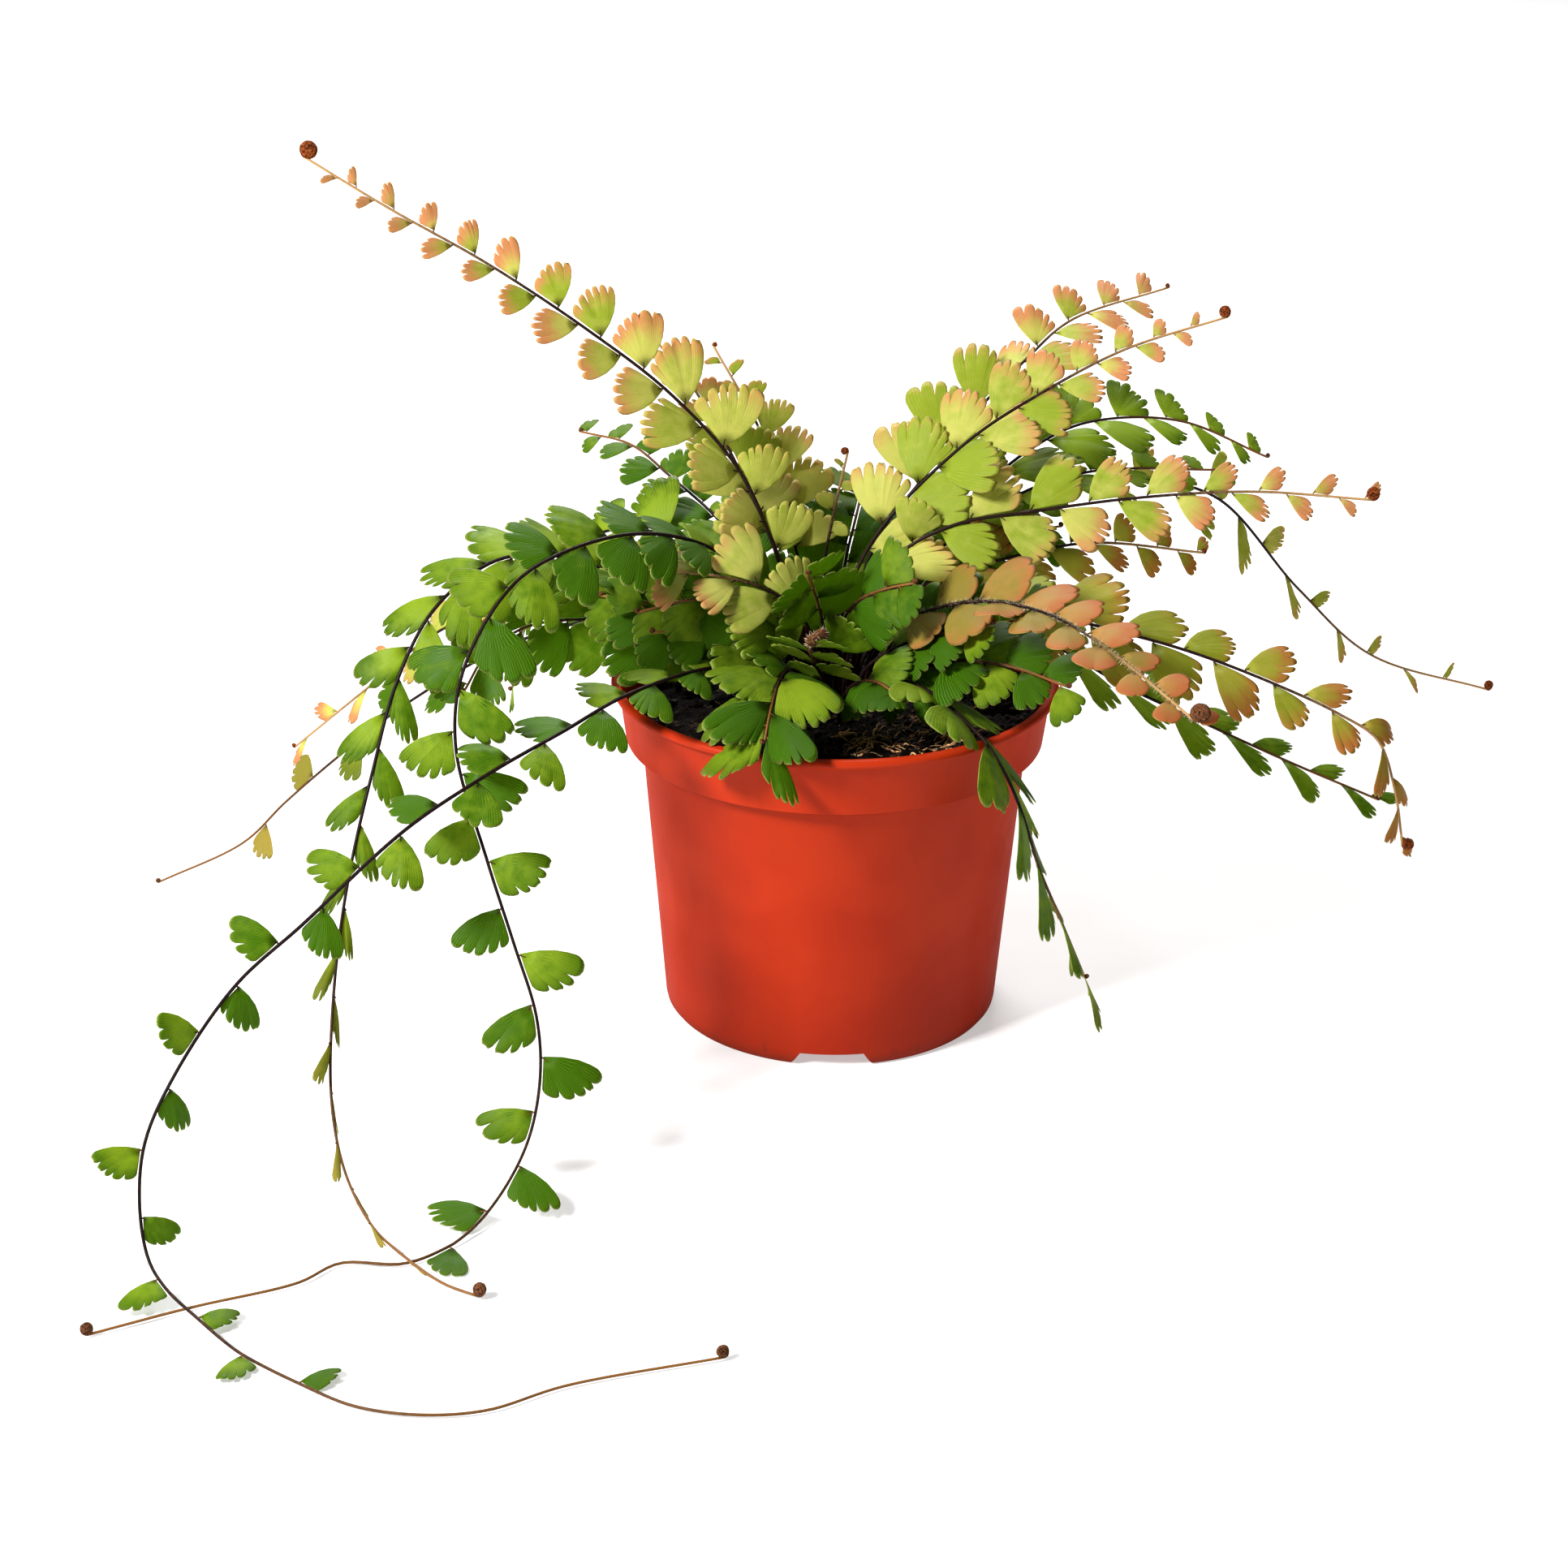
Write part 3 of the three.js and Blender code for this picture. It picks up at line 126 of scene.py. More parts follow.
# Every frond, as in the frame: its age, where its leaflets start and end, how many there are,
# their length, how much the last ones have shrunk, their lean and fold in degrees, how much
# wider apart they get, the way the upper side faces, and its route from the soil to its tip.
# Most fronds have the usual age, lean, fold and spread.
USUAL = dict(age="mature", lean=[14, 14], fold=8, spread=0)
FRONDS = {
    "upper_left": dict(
        age="young", first=44, last=196, leaflets=24, size=16, shrink=0.3, lean=[8, 12], fold=20,
        spread=-0.2, face=[[0.3, -0.9, 0.4], [0.3, -0.8, 0.6], [0.3, -0.7, 0.7]],
        route=[[-6, 3, 86], [-11, 2, 110], [-17, 2, 131], [-26, 3, 151], [-44, 5, 171], [-65, 7, 187],
               [-91, 9, 204], [-116, 10, 218], [-137, 10, 231]],
    ),
    "up_left_back": dict(
        age="young", first=40, last=108, leaflets=13, size=15.5, shrink=0.3, lean=[10, 10], spread=-0.1,
        face=[[0.3, -0.5, 0.8], [0.1, -0.4, 0.9]],
        route=[[-5, 8, 86], [-9, 9, 106], [-15, 12, 123], [-23, 22, 138], [-31, 32, 151], [-40, 42, 163],
               [-54, 53, 177]],
    ),
    "up_back": dict(
        age="young", first=40, last=98, leaflets=12, size=15.5, shrink=0.3, lean=[10, 10], spread=-0.1,
        face=[[0.2, -0.8, 0.5], [0, -0.6, 0.8]],
        route=[[-2, 10, 86], [-5, 12, 105], [-10, 18, 121], [-15, 30, 135], [-21, 42, 150], [-34, 58, 169]],
    ),
    "middle_young": dict(
        age="young", first=44, last=62, leaflets=4, size=6, shrink=0.6, lean=[10, 10],
        face=[[0, -0.9, 0.4]],
        route=[[1, 8, 86], [-1, 9, 106], [-3, 14, 120], [-1, 20, 132], [3, 29, 148]],
    ),
    "left_high": dict(
        first=26, last=112, leaflets=15, size=14, shrink=0.4, lean=[12, 12],
        face=[[0, -0.3, 1], [-0.2, -0.3, 1]],
        route=[[-9, 11, 86], [-13, 14, 103], [-22, 22, 118], [-33, 36, 127], [-46, 50, 134], [-57, 62, 139],
               [-72, 74, 139]],
    ),
    "left_arch": dict(
        first=26, last=150, leaflets=16, size=15, shrink=0.5,
        face=[[0, -0.2, 1], [-0.6, -0.2, 0.7], [-1, -0.2, 0.3]],
        route=[[-12, 8, 86], [-17, 10, 100], [-29, 18, 114], [-42, 26, 122], [-55, 34, 124], [-69, 42, 118],
               [-80, 50, 106], [-88, 56, 87], [-92, 60, 66]],
    ),
    "left_far": dict(
        age="young", first=70, last=188, leaflets=10, size=10, shrink=0.6,
        face=[[0, -0.3, 1], [-0.5, -0.5, 0.7]],
        route=[[-13, 13, 86], [-20, 18, 99], [-36, 28, 108], [-60, 42, 106], [-89, 58, 95], [-114, 68, 80],
               [-134, 76, 61], [-159, 82, 38]],
    ),
    "left_thread": dict(
        first=60, last=186, leaflets=8, size=12, shrink=0.7, spread=0.2,
        face=[[0, -0.3, 1], [-0.4, -0.6, 0.7]],
        route=[[-17, 8, 86], [-26, 13, 98], [-38, 19, 103], [-60, 29, 100], [-88, 38, 89], [-119, 46, 68],
               [-141, 50, 49], [-158, 52, 33], [-171, 52, 20], [-195, 46, 10]],
    ),
    "left_low": dict(
        first=22, last=104, leaflets=13, size=16, shrink=0.6, lean=[18, 18],
        face=[[0, -1, 0.5], [-0.4, -1, 0.5]],
        route=[[-13, 0, 86], [-20, -2, 100], [-37, -3, 109], [-52, -5, 112], [-66, -8, 113],
               [-81, -14, 113], [-91, -20, 108], [-97, -25, 99]],
    ),
    "left_mid": dict(
        first=26, last=118, leaflets=12, size=15, shrink=0.6,
        face=[[0, -0.2, 1], [-0.6, -0.3, 0.8]],
        route=[[-15, 5, 86], [-20, 4, 101], [-37, 4, 111], [-56, 8, 113], [-79, 18, 111], [-93, 24, 103],
               [-104, 30, 90]],
    ),
    "left_trailing_far": dict(
        first=58, last=305, leaflets=28, size=14.5, shrink=0.5, lean=[14, 50], fold=0,
        spread=0.6,
        face=[[0.1, -0.3, 1], [-0.3, -0.4, 0.9], [-0.1, -1, 0.2], [0.9, -0.45, 0.1], [0.3, 0, 1]],
        route=[[-11, 5, 86], [-20, 4, 104], [-35, 2, 113], [-51, 0, 119], [-65, -2, 126], [-78, -8, 131],
               [-90, -15, 131], [-104, -26, 122], [-113, -35, 106], [-119, -46, 85], [-124, -62, 63],
               [-126, -82, 43], [-125, -104, 22], [-121, -117, 10], [-112, -136, 4.5], [-104, -147, 3.5],
               [-93, -157, 1.5], [-84, -162, 1]],
    ),
    "left_trailing_near": dict(
        first=52, last=302, leaflets=26, size=16.5, shrink=0.85, lean=[16, 16], fold=0,
        spread=0.5,
        face=[[0, -0.3, 1], [-0.2, -0.4, 0.9], [-0.2, -0.9, 0.3], [0, -1, 0.2], [0, -0.8, 0.6], [0, 0, 1],
              [0, 0, 1]],
        route=[[-9, 0, 86], [-14, -2, 106], [-22, -5, 122], [-31, -8, 132], [-47, -20, 141],
               [-64, -34, 143], [-81, -50, 138], [-93, -62, 120], [-95, -69, 102], [-87, -80, 76],
               [-80, -90, 58], [-74, -99, 42], [-73, -105, 28], [-76, -113, 14], [-84, -127, 4],
               [-93, -140, 1], [-103, -148, 1], [-118, -148, 1], [-127, -157, 1], [-150, -168, 1],
               [-172, -180, 1]],
    ),
    "left_trailing_long": dict(
        first=36, last=326, leaflets=24, size=14, shrink=0.7, lean=[16, 16], fold=0,
        spread=0.45,
        face=[[0, -0.3, 1], [-0.2, -0.4, 0.9], [-0.2, -0.6, 0.8], [0.6, -0.7, 0.2], [0, 0, 1], [0, 0, 1],
              [0, 0, 1]],
        route=[[-11, -5, 86], [-16, -10, 99], [-31, -24, 106], [-53, -46, 107], [-69, -62, 103],
               [-85, -78, 99], [-105, -93, 90], [-129, -110, 72], [-144, -121, 61], [-157, -138, 45],
               [-163, -146, 32], [-164, -152, 19], [-162, -157, 8], [-157, -165, 5], [-148, -175, 3],
               [-135, -188, 1], [-121, -199, 1], [-107, -208, 1], [-92, -211, 1], [-78, -209, 1],
               [-61, -199, 1], [-26, -187, 1]],
    ),
    "front_over_rim": dict(
        first=22, last=60, leaflets=10, size=19.5, shrink=0.9, lean=[12, 50],
        face=[[0, -0.5, 1], [0, -0.6, 0.9]],
        route=[[-5, -7, 86], [-8, -12, 98], [-12, -20, 104], [-15, -32, 105], [-17, -44, 102],
               [-18.5, -54, 97.5]],
    ),
    "front_fiddlehead": dict(
        first=14, last=40, leaflets=6, size=12.5, shrink=0.85, lean=[10, 10],
        face=[[0, -0.4, 1]],
        route=[[-1, -8, 86], [-3, -14, 98], [-6, -24, 108], [-8, -37, 118]],
    ),
    "front_right_hanging": dict(
        first=34, last=146, leaflets=13, size=16, shrink=0.7, lean=[20, 66], fold=0,
        spread=0.2, face=[[0, -0.6, 0.9], [0.9, -0.3, 0.4], [0.9, 0.4, 0.1]],
        route=[[2, -9, 86], [7, -15, 97], [17, -25, 103], [26, -36, 103], [33, -46, 100], [38, -53, 97],
               [43, -58, 90], [47, -60, 81], [52, -58, 65], [57, -54, 52], [66, -48, 29]],
    ),
    "right_low_inner": dict(
        first=20, last=58, leaflets=8, size=14, shrink=0.7, face=[[0, -0.6, 0.9]],
        route=[[5, -3, 86], [8, -9, 100], [18, -16, 110], [26, -22, 115], [40, -30, 121]],
    ),
    "right_low_outer": dict(
        first=18, last=76, leaflets=11, size=15, shrink=0.7, face=[[0.1, -0.6, 0.9]],
        route=[[5, -7, 86], [10, -13, 98], [20, -20, 104], [32, -28, 110], [45, -35, 111], [59, -41, 108]],
    ),
    "right_high": dict(
        age="young", first=42, last=148, leaflets=18, size=17.5, shrink=0.3, lean=[10, 10], spread=-0.2,
        face=[[-0.3, -0.9, 0.5], [-0.3, -0.6, 0.8]],
        route=[[0, 4, 86], [1, 6, 106], [6, 10, 122], [14, 12, 135], [35, 18, 155], [54, 22, 167],
               [76, 26, 178], [103, 30, 186]],
    ),
    "right_high_back": dict(
        age="young", first=56, last=158, leaflets=16, size=20, shrink=0.45, lean=[6, 6], spread=-0.1,
        face=[[-0.3, -0.8, 0.6], [-0.2, -0.7, 0.8]],
        route=[[2, 10, 86], [5, 15, 108], [12, 25, 126], [22, 36, 136], [38, 54, 151], [53, 68, 163],
               [66, 80, 171], [95, 98, 176]],
    ),
    "right_green_arch": dict(
        first=60, last=172, leaflets=14, size=16, shrink=0.4, spread=-0.1,
        face=[[0, -0.4, 1], [0.2, -0.3, 1]],
        route=[[5, 8, 86], [10, 13, 106], [22, 24, 124], [38, 36, 134], [53, 50, 142], [70, 64, 146],
               [98, 80, 142], [126, 94, 127]],
    ),
    "right_level": dict(
        age="young", first=40, last=170, leaflets=18, size=17, shrink=0.35, lean=[16, 16], spread=-0.1,
        face=[[-0.2, -0.9, 0.6], [0, -0.7, 0.8]],
        route=[[4, 2, 86], [7, 3, 110], [16, 4, 127], [31, 4, 136], [52, 4, 140], [79, 4, 144],
               [109, 4, 146], [141, 4, 144]],
    ),
    "right_level_low": dict(
        age="olive", first=30, last=122, leaflets=14, size=14, shrink=0.4, lean=[16, 16], spread=-0.1,
        face=[[0, -0.7, 0.8]],
        route=[[7, 5, 86], [13, 8, 106], [26, 13, 117], [43, 18, 121], [69, 28, 123], [102, 38, 117]],
    ),
    "right_red": dict(
        age="red", first=40, last=146, leaflets=16, size=13.5, shrink=0.45, lean=[16, 16], spread=-0.1,
        face=[[0, -0.6, 0.9], [0.2, -0.5, 1]],
        route=[[2, -3, 86], [4, -5, 104], [10, -8, 113], [21, -12, 117], [33, -20, 123], [42, -28, 126],
               [55, -44, 128], [69, -64, 125], [86, -82, 116]],
    ),
    "right_olive_arch": dict(
        age="olive", first=46, last=196, leaflets=18, size=16, shrink=0.45, lean=[18, 30], fold=0,
        face=[[0, -0.5, 1], [0.2, -0.5, 0.9], [0.8, -0.5, 0.3]],
        route=[[7, 0, 86], [13, -1, 106], [28, -4, 117], [47, -8, 118], [68, -12, 114], [91, -16, 109],
               [112, -22, 103], [131, -28, 96], [141, -31, 90], [146, -34, 77], [149, -35, 62]],
    ),
    "right_green_low": dict(
        first=34, last=176, leaflets=16, size=14.5, shrink=0.6, lean=[18, 18], spread=0.1,
        face=[[0, -0.3, 1], [0.3, -0.3, 1]],
        route=[[9, 3, 86], [15, 6, 98], [28, 10, 105], [44, 15, 103], [60, 20, 96], [80, 24, 83],
               [100, 28, 72], [129, 32, 57], [155, 34, 45]],
    ),
    "right_far": dict(
        age="young", first=110, last=262, leaflets=12, size=13, shrink=0.4, lean=[16, 16],
        face=[[0, -0.3, 1], [0.5, -0.6, 0.5]],
        route=[[5, 11, 86], [12, 18, 108], [34, 36, 123], [62, 60, 128], [87, 78, 125], [112, 92, 115],
               [140, 106, 82], [165, 114, 58], [203, 122, 44]],
    ),
    "right_mid_back": dict(
        first=40, last=138, leaflets=13, size=12, shrink=0.5, lean=[12, 12],
        face=[[0, -0.3, 1]],
        route=[[9, 9, 86], [15, 12, 107], [29, 21, 124], [50, 36, 134], [71, 48, 137], [110, 66, 132]],
    ),
    "back_left_outer": dict(
        first=34, last=152, leaflets=8, size=14, shrink=0.5, spread=0.1,
        face=[[0, 0.2, 1], [-0.6, 0.5, 0.6]],
        route=[[-11, 16, 86], [-20, 26, 102], [-38, 44, 109], [-60, 66, 106], [-80, 86, 90],
               [-94, 100, 66]],
    ),
    "back_left": dict(
        first=34, last=160, leaflets=8, size=14, shrink=0.5, spread=0.1,
        face=[[0, 0.2, 1], [-0.3, 0.9, 0.5]],
        route=[[-7, 17, 86], [-12, 30, 102], [-22, 54, 110], [-34, 82, 104], [-44, 106, 84],
               [-50, 122, 56]],
    ),
    "back_middle": dict(
        first=34, last=170, leaflets=8, size=14, shrink=0.5, spread=0.1,
        face=[[0, 0.2, 1], [0, 1, 0.3]],
        route=[[-2, 16, 86], [0, 32, 104], [2, 60, 112], [4, 90, 102], [4, 116, 78], [2, 130, 44]],
    ),
    "back_right": dict(
        first=34, last=152, leaflets=8, size=14, shrink=0.5, spread=0.1,
        face=[[0, 0.2, 1], [0.4, 0.9, 0.4]],
        route=[[4, 15, 86], [12, 30, 102], [26, 54, 108], [42, 80, 100], [54, 102, 78], [60, 114, 50]],
    ),
    "back_right_outer": dict(
        first=36, last=130, leaflets=8, size=13, shrink=0.5, spread=0.1,
        face=[[0, 0.2, 1], [0.7, 0.5, 0.4]],
        route=[[9, 13, 86], [20, 22, 100], [42, 38, 105], [66, 54, 98], [84, 68, 80], [92, 76, 60]],
    ),
    "crown_left": dict(
        first=26, last=70, leaflets=9, size=15, shrink=0.7, face=[[0, -0.8, 0.6]],
        route=[[-5, -2, 86], [-7, -5, 100], [-13, -9, 112], [-24, -12, 119], [-37, -14, 121],
               [-52, -16, 118]],
    ),
    "crown_left_low": dict(
        first=18, last=50, leaflets=8, size=15, shrink=0.8, face=[[-0.1, -0.8, 0.7]],
        route=[[-8, -9, 86], [-12, -12, 98], [-22, -13, 108], [-34, -16, 113], [-48, -20, 114]],
    ),
    "crown_left_outer": dict(
        first=24, last=68, leaflets=9, size=14.5, shrink=0.7, face=[[-0.2, -0.7, 0.7]],
        route=[[-18, -1, 86], [-24, -6, 100], [-34, -9, 112], [-48, -10, 118], [-62, -9, 120]],
    ),
    "crown_pale": dict(
        age="young", first=34, last=72, leaflets=7, size=16, shrink=0.7, lean=[10, 10],
        face=[[0, -0.7, 0.8]],
        route=[[-2, -4.5, 86], [-5, -8, 104], [-10, -12, 117], [-20, -15, 125], [-34, -17, 129],
               [-47, -18, 130]],
    ),
    "crown_front": dict(
        first=18, last=44, leaflets=7, size=15, shrink=0.7, lean=[12, 12],
        face=[[0, -0.9, 0.4]],
        route=[[-1, -1, 86], [-2, -3, 102], [-4, -7, 114], [-6, -12, 123], [-8, -18, 130]],
    ),
    "crown_front_right": dict(
        first=26, last=52, leaflets=7, size=14, shrink=0.75, lean=[12, 12],
        face=[[0, -0.8, 0.6]],
        route=[[1.5, 0.5, 86], [1, -2, 100], [2, -7, 113], [6, -13, 121], [13, -18, 126], [20, -22, 129]],
    ),
    "crown_right": dict(
        first=24, last=62, leaflets=8, size=14, shrink=0.7, face=[[0, -0.6, 0.9]],
        route=[[11, -1, 86], [13, -5, 99], [16, -9, 107], [25, -12, 112], [38, -15, 116], [51, -17, 117]],
    ),
    "crown_low_front": dict(
        first=12, last=34, leaflets=7, size=13, shrink=0.8, face=[[0, -0.6, 0.8]],
        route=[[1, -13, 86], [2, -17, 95], [5, -22, 101], [10, -28, 104], [16, -36, 103]],
    ),
    "crown_back": dict(
        first=22, last=60, leaflets=9, size=15, shrink=0.7, face=[[0, -0.8, 0.7]],
        route=[[0, 20, 86], [1, 24, 103], [3, 30, 117], [6, 40, 127], [8, 54, 131]],
    ),
    "crown_back_right": dict(
        first=24, last=66, leaflets=9, size=14.5, shrink=0.7, face=[[0, -0.7, 0.7]],
        route=[[14, 10, 86], [18, 14, 103], [24, 18, 114], [34, 24, 121], [48, 30, 125], [62, 36, 125]],
    ),
    "crown_low_back": dict(
        first=14, last=44, leaflets=7, size=13.5, shrink=0.8, lean=[12, 12],
        face=[[0, -0.8, 0.7]],
        route=[[6.5, 18.5, 86], [10, 26, 93], [18, 36, 97], [30, 42, 98]],
    ),
    "crown_low_back_left": dict(
        first=14, last=42, leaflets=7, size=13.5, shrink=0.8, lean=[12, 12],
        face=[[0, -0.8, 0.7]],
        route=[[-4.5, 20, 86], [-6, 28, 94], [-9, 38, 98], [-16, 46, 99]],
    ),
}

# The fine leaflet: a thin fan of two sheets. Columns run from the inner margin to the basal
# one, rows from the stalk to the cut margin.
SHEET_HALF = 0.14
MARGIN_SHARPNESS = 8
SIDE_SHARPNESS = 24
LEAF_ROWS = (0.3, 0.56, 0.78, 0.92, 1)
LEAF_ROOT = 0.7
LOWEST_SHEET = 0.4
ROWS_APART = 0.1

# Its lobes: the columns of each, its form, and how much their number, width and cuts vary.
LOBE_STEPS = (0, 0.035, 0.11, 0.26, 0.5, 0.74, 0.89, 0.965)
LOBE_SHARPNESS = 7
LOBE_ROUNDNESS = 0.06
LOBE_COUNT_SCATTER = 0.6
LOBE_WIDTH_SCATTER = 0.35
CUT_SCATTER = (0.3, 1.6)
OUTER_CALM = 0.5
CORNER_CUT = 0.08
NICKS = (0, 0, 0, 0.025)
FULL_LEAF = 13

# Its bends, in shares of its length: how far its root is moved along the stem, the bow of the
# basal side towards the crown, how far the sides bow out, the range of the droop, the twist
# and its axis, the fall of the sides, the lift of the lobes and a ripple.
ROOT_SHIFT = 0.02
CROWN_SIDE_ARCH = 0.28
BOW_AT_OUTER = 0.03
BOW_AT_INNER = -0.02
DROOP_SCATTER = (0.4, 1.7)
TWIST_SCATTER = 0.12
TWIST_AXIS = 0.3
SIDE_FALL = 0.05
LOBE_LIFT = 0.03
RIPPLE = 0.018
RIPPLE_TURNS = 8

# Its looks. A leaflet's age is 0 at the foot of its frond and 1 at the tip of a frond of this
# length, or up to the oldest on a longer one.
LONG_FROND = 160
OLDEST = 1.3
LATE_FROM = 0.75
LATE_SHARE = 0.8
TRANSLUCENCY = 0.44
VEINS = 13
FORKED_FROM = 0.5
VEIN_SHARPNESS = 14
VEIN_TONE = 0.24

# Its stalk. How far it goes out, and along the stem, are shares of the leaflet's length.
PETIOLE_STEPS = 4
PETIOLE_SIDES = 5
PETIOLE_RADII = (0.24, 0.12)
PETIOLE_OUT = 0.08
PETIOLE_ALONG = 0.09

# How the leaflets of each form are cut and bent: the inner and outer end of the cut margin
# and the handle between them, the number of lobes, how deep they are cut, the droop, how much
# narrower the last ones look, as they are still folded, how many degrees further they lean
# towards the tip, and how much bigger the fine leaflet is than the frame's. The colour shift is
# added to the number that picks between the two colours of a leaf, partly as painted light, and
# ageing multiplies its age.
PLAIN_FORM = dict(droop=0.12, folded=0.2, leaning=0, fullness=1.1, paler_and_painted_light=0, ageing=1)
LEAF_FORMS = {
    "young": dict(inner=(0.8, 0.08), handle=(0.86, 0.8), outer=(0.14, 1), lobes=5.6, depth=0.19,
                  droop=0.08, folded=0.4, leaning=20),
    "broad": dict(inner=(0.78, 0.05), handle=(0.9, 0.8), outer=(0.12, 1), lobes=5, depth=0.16,
                  fullness=1.22, paler_and_painted_light=-0.3),
    "mature": dict(inner=(0.68, 0.05), handle=(0.8, 0.72), outer=(0.1, 1), lobes=4.6, depth=0.17),
    "olive": dict(inner=(0.74, 0.08), handle=(0.8, 0.76), outer=(0.12, 1), lobes=5, depth=0.16,
                  folded=0.25, leaning=8),
    "red": dict(inner=(0.8, 0.1), handle=(0.96, 0.9), outer=(0.06, 1), lobes=3, depth=0.06,
                droop=0.1, folded=0.1, fullness=1.25),
}
# The green fronds round the crown have broader fans than the trailing ones.
BROAD_FRONDS = ("crown", "left_high", "left_arch", "left_low", "left_mid", "left_thread", "right_green",
                "right_mid", "back", "right_low", "front_over")
# Fronds whose fine leaflets differ from the others of their form.
# Painted light: right_green_arch faces away from the key lamp and right_level_low lies in the shade of
# right_level, and their colour shifts lighten them.
OWN_FORMS = {
    "right_green_low": dict(fullness=1.4, folded=0.3, leaning=30, ageing=0.2, paler_and_painted_light=0.3),
    "right_green_arch": dict(fullness=1.35, ageing=0, paler_and_painted_light=0.7),
    "right_mid_back": dict(fullness=1.3, ageing=0, paler_and_painted_light=0.5),
    "right_level_low": dict(fullness=1.2, ageing=0.8, paler_and_painted_light=0.6),
    "right_olive_arch": dict(fullness=1.3, paler_and_painted_light=0.2),
    "right_far": dict(fullness=1.5, inner=(0.42, 0.06), handle=(0.5, 0.6), ageing=0.3, paler_and_painted_light=0.3),
    "left_trailing_far": dict(fullness=1.34, leaning=30, paler_and_painted_light=0.3),
    "left_trailing_near": dict(ageing=0.6, paler_and_painted_light=-0.25),
    "left_trailing_long": dict(ageing=0.6, paler_and_painted_light=-0.15),
    "left_arch": dict(ageing=0.3, paler_and_painted_light=0.9),
    "left_low": dict(paler_and_painted_light=-0.2),
    "left_far": dict(fullness=1.6, ageing=0.45, paler_and_painted_light=0.3),
    "left_thread": dict(fullness=1.4),
    "front_right_hanging": dict(fullness=1.45, leaning=6),
    "front_over_rim": dict(fullness=1.14, paler_and_painted_light=-0.1),
}

# Stems.
STEM_FOOT_RADIUS = 0.56
STEM_TIP_RADIUS = 0.34
STEM_SIDES = 8
STEM_STEP = 2.2
STEM_UNDER_SOIL = 3

# Coils at the tips. A coil swells within a share of its length, thins towards its middle and
# comes forward a little as it turns.
COIL_RADIUS = 1.7
COIL_TURNS = 2.2
COIL_STEPS = 44
COIL_SIDES = 10
COIL_THICK = 0.85
COIL_TIGHTENING = 0.8
COIL_SWELLING = 6
COIL_THINNING = 0.25
COIL_FORWARD = 0.35
COIL_LUMPS = 0.1
COIL_LUMPS_PER_MM = 1.3
LUMP_SEED = 1

# How big the coiled tip is on the fronds where the photograph shows it. Others have a small
# one. Its hairs are brown, except on the pale ones.
COIL_SIZES = {
    "upper_left": 1.15, "right_red": 1.25, "front_fiddlehead": 1.6, "right_level": 0.9, "right_high": 0.8,
    "up_left_back": 0.9, "left_trailing_near": 0.75, "left_trailing_far": 0.85, "left_trailing_long": 0.75,
    "right_olive_arch": 0.8, "right_far": 0.75, "middle_young": 0.5,
}
OTHER_COIL = 0.3
PALE_COILS = ("front_fiddlehead",)

# Hairs on coils and stems. A stem's hairs start at a place along it: so far from its start on
# the red frond, at that share of its length on the young ones. Then come how many there are to
# the millimetre, and their length.
HAIRS_PER_COIL = 170
HAIR_RADIUS = 0.05
HAIR_LENGTHS = (0.4, 1.0)
HAIR_TREND = 0.8
HAIR_SUNK = 0.8
STEM_HAIR_RADIUS = 0.035
STEM_HAIR_LENGTHS = (0.5, 1.2)
STEM_HAIR_LEAN = (-0.3, 0.5)
STEM_HAIR_SUNK = 0.7
RED_HAIRS_FROM = 36
RED_HAIRS = (9, 1.5)
YOUNG_HAIRS_FROM = 0.7
YOUNG_HAIRS = (1.5, 0.8)

# The material slots of a frond, and the numbers kept at its points.
LEAF_SLOT, STEM_SLOT, WOOL_SLOT, PALE_SLOT = range(4)
CHANNELS = ("leaf_out", "leaf_across", "leaf_under", "leaf_tone_and_painted_light", "leaf_age", "stem_along")


def srgb(red, green, blue):
    """A colour given as it looks on a screen, from 0 to 255, as linear light."""
    parts = [c / 255 for c in (red, green, blue)]
    return tuple(c / 12.92 if c <= 0.04045 else ((c + 0.055) / 1.055) ** 2.4 for c in parts) + (1,)


def unit(vectors):
    """The same directions at length 1."""
    vectors = np.asarray(vectors, float)
    return vectors / np.linalg.norm(vectors, axis=-1, keepdims=True)


# Materials. Their lengths are millimetres too.

LEAF_MARGIN = srgb(216, 216, 120)
LEAF_UNDERSIDE = srgb(150, 170, 60)
STEM_STREAK = srgb(74, 40, 24)
POT_RED = srgb(170, 45, 15)
POT_RED_DEEPER = srgb(160, 39, 12)
# The deeper red painted on the lower body as painted shade.
POT_PAINTED_SHADE = srgb(128, 26, 8)
# The dark brown of the soiled patches, also used to darken the foot's edge and for the painted shadow under
# the band.
DIRT_AND_PAINTED_SHADE = srgb(82, 34, 18)
DRY_DIRT = srgb(110, 50, 30)
WET_PEAT = srgb(4, 3, 2)
PEAT = srgb(24, 15, 9)
PEAT_CRUMB = srgb(72, 45, 27)


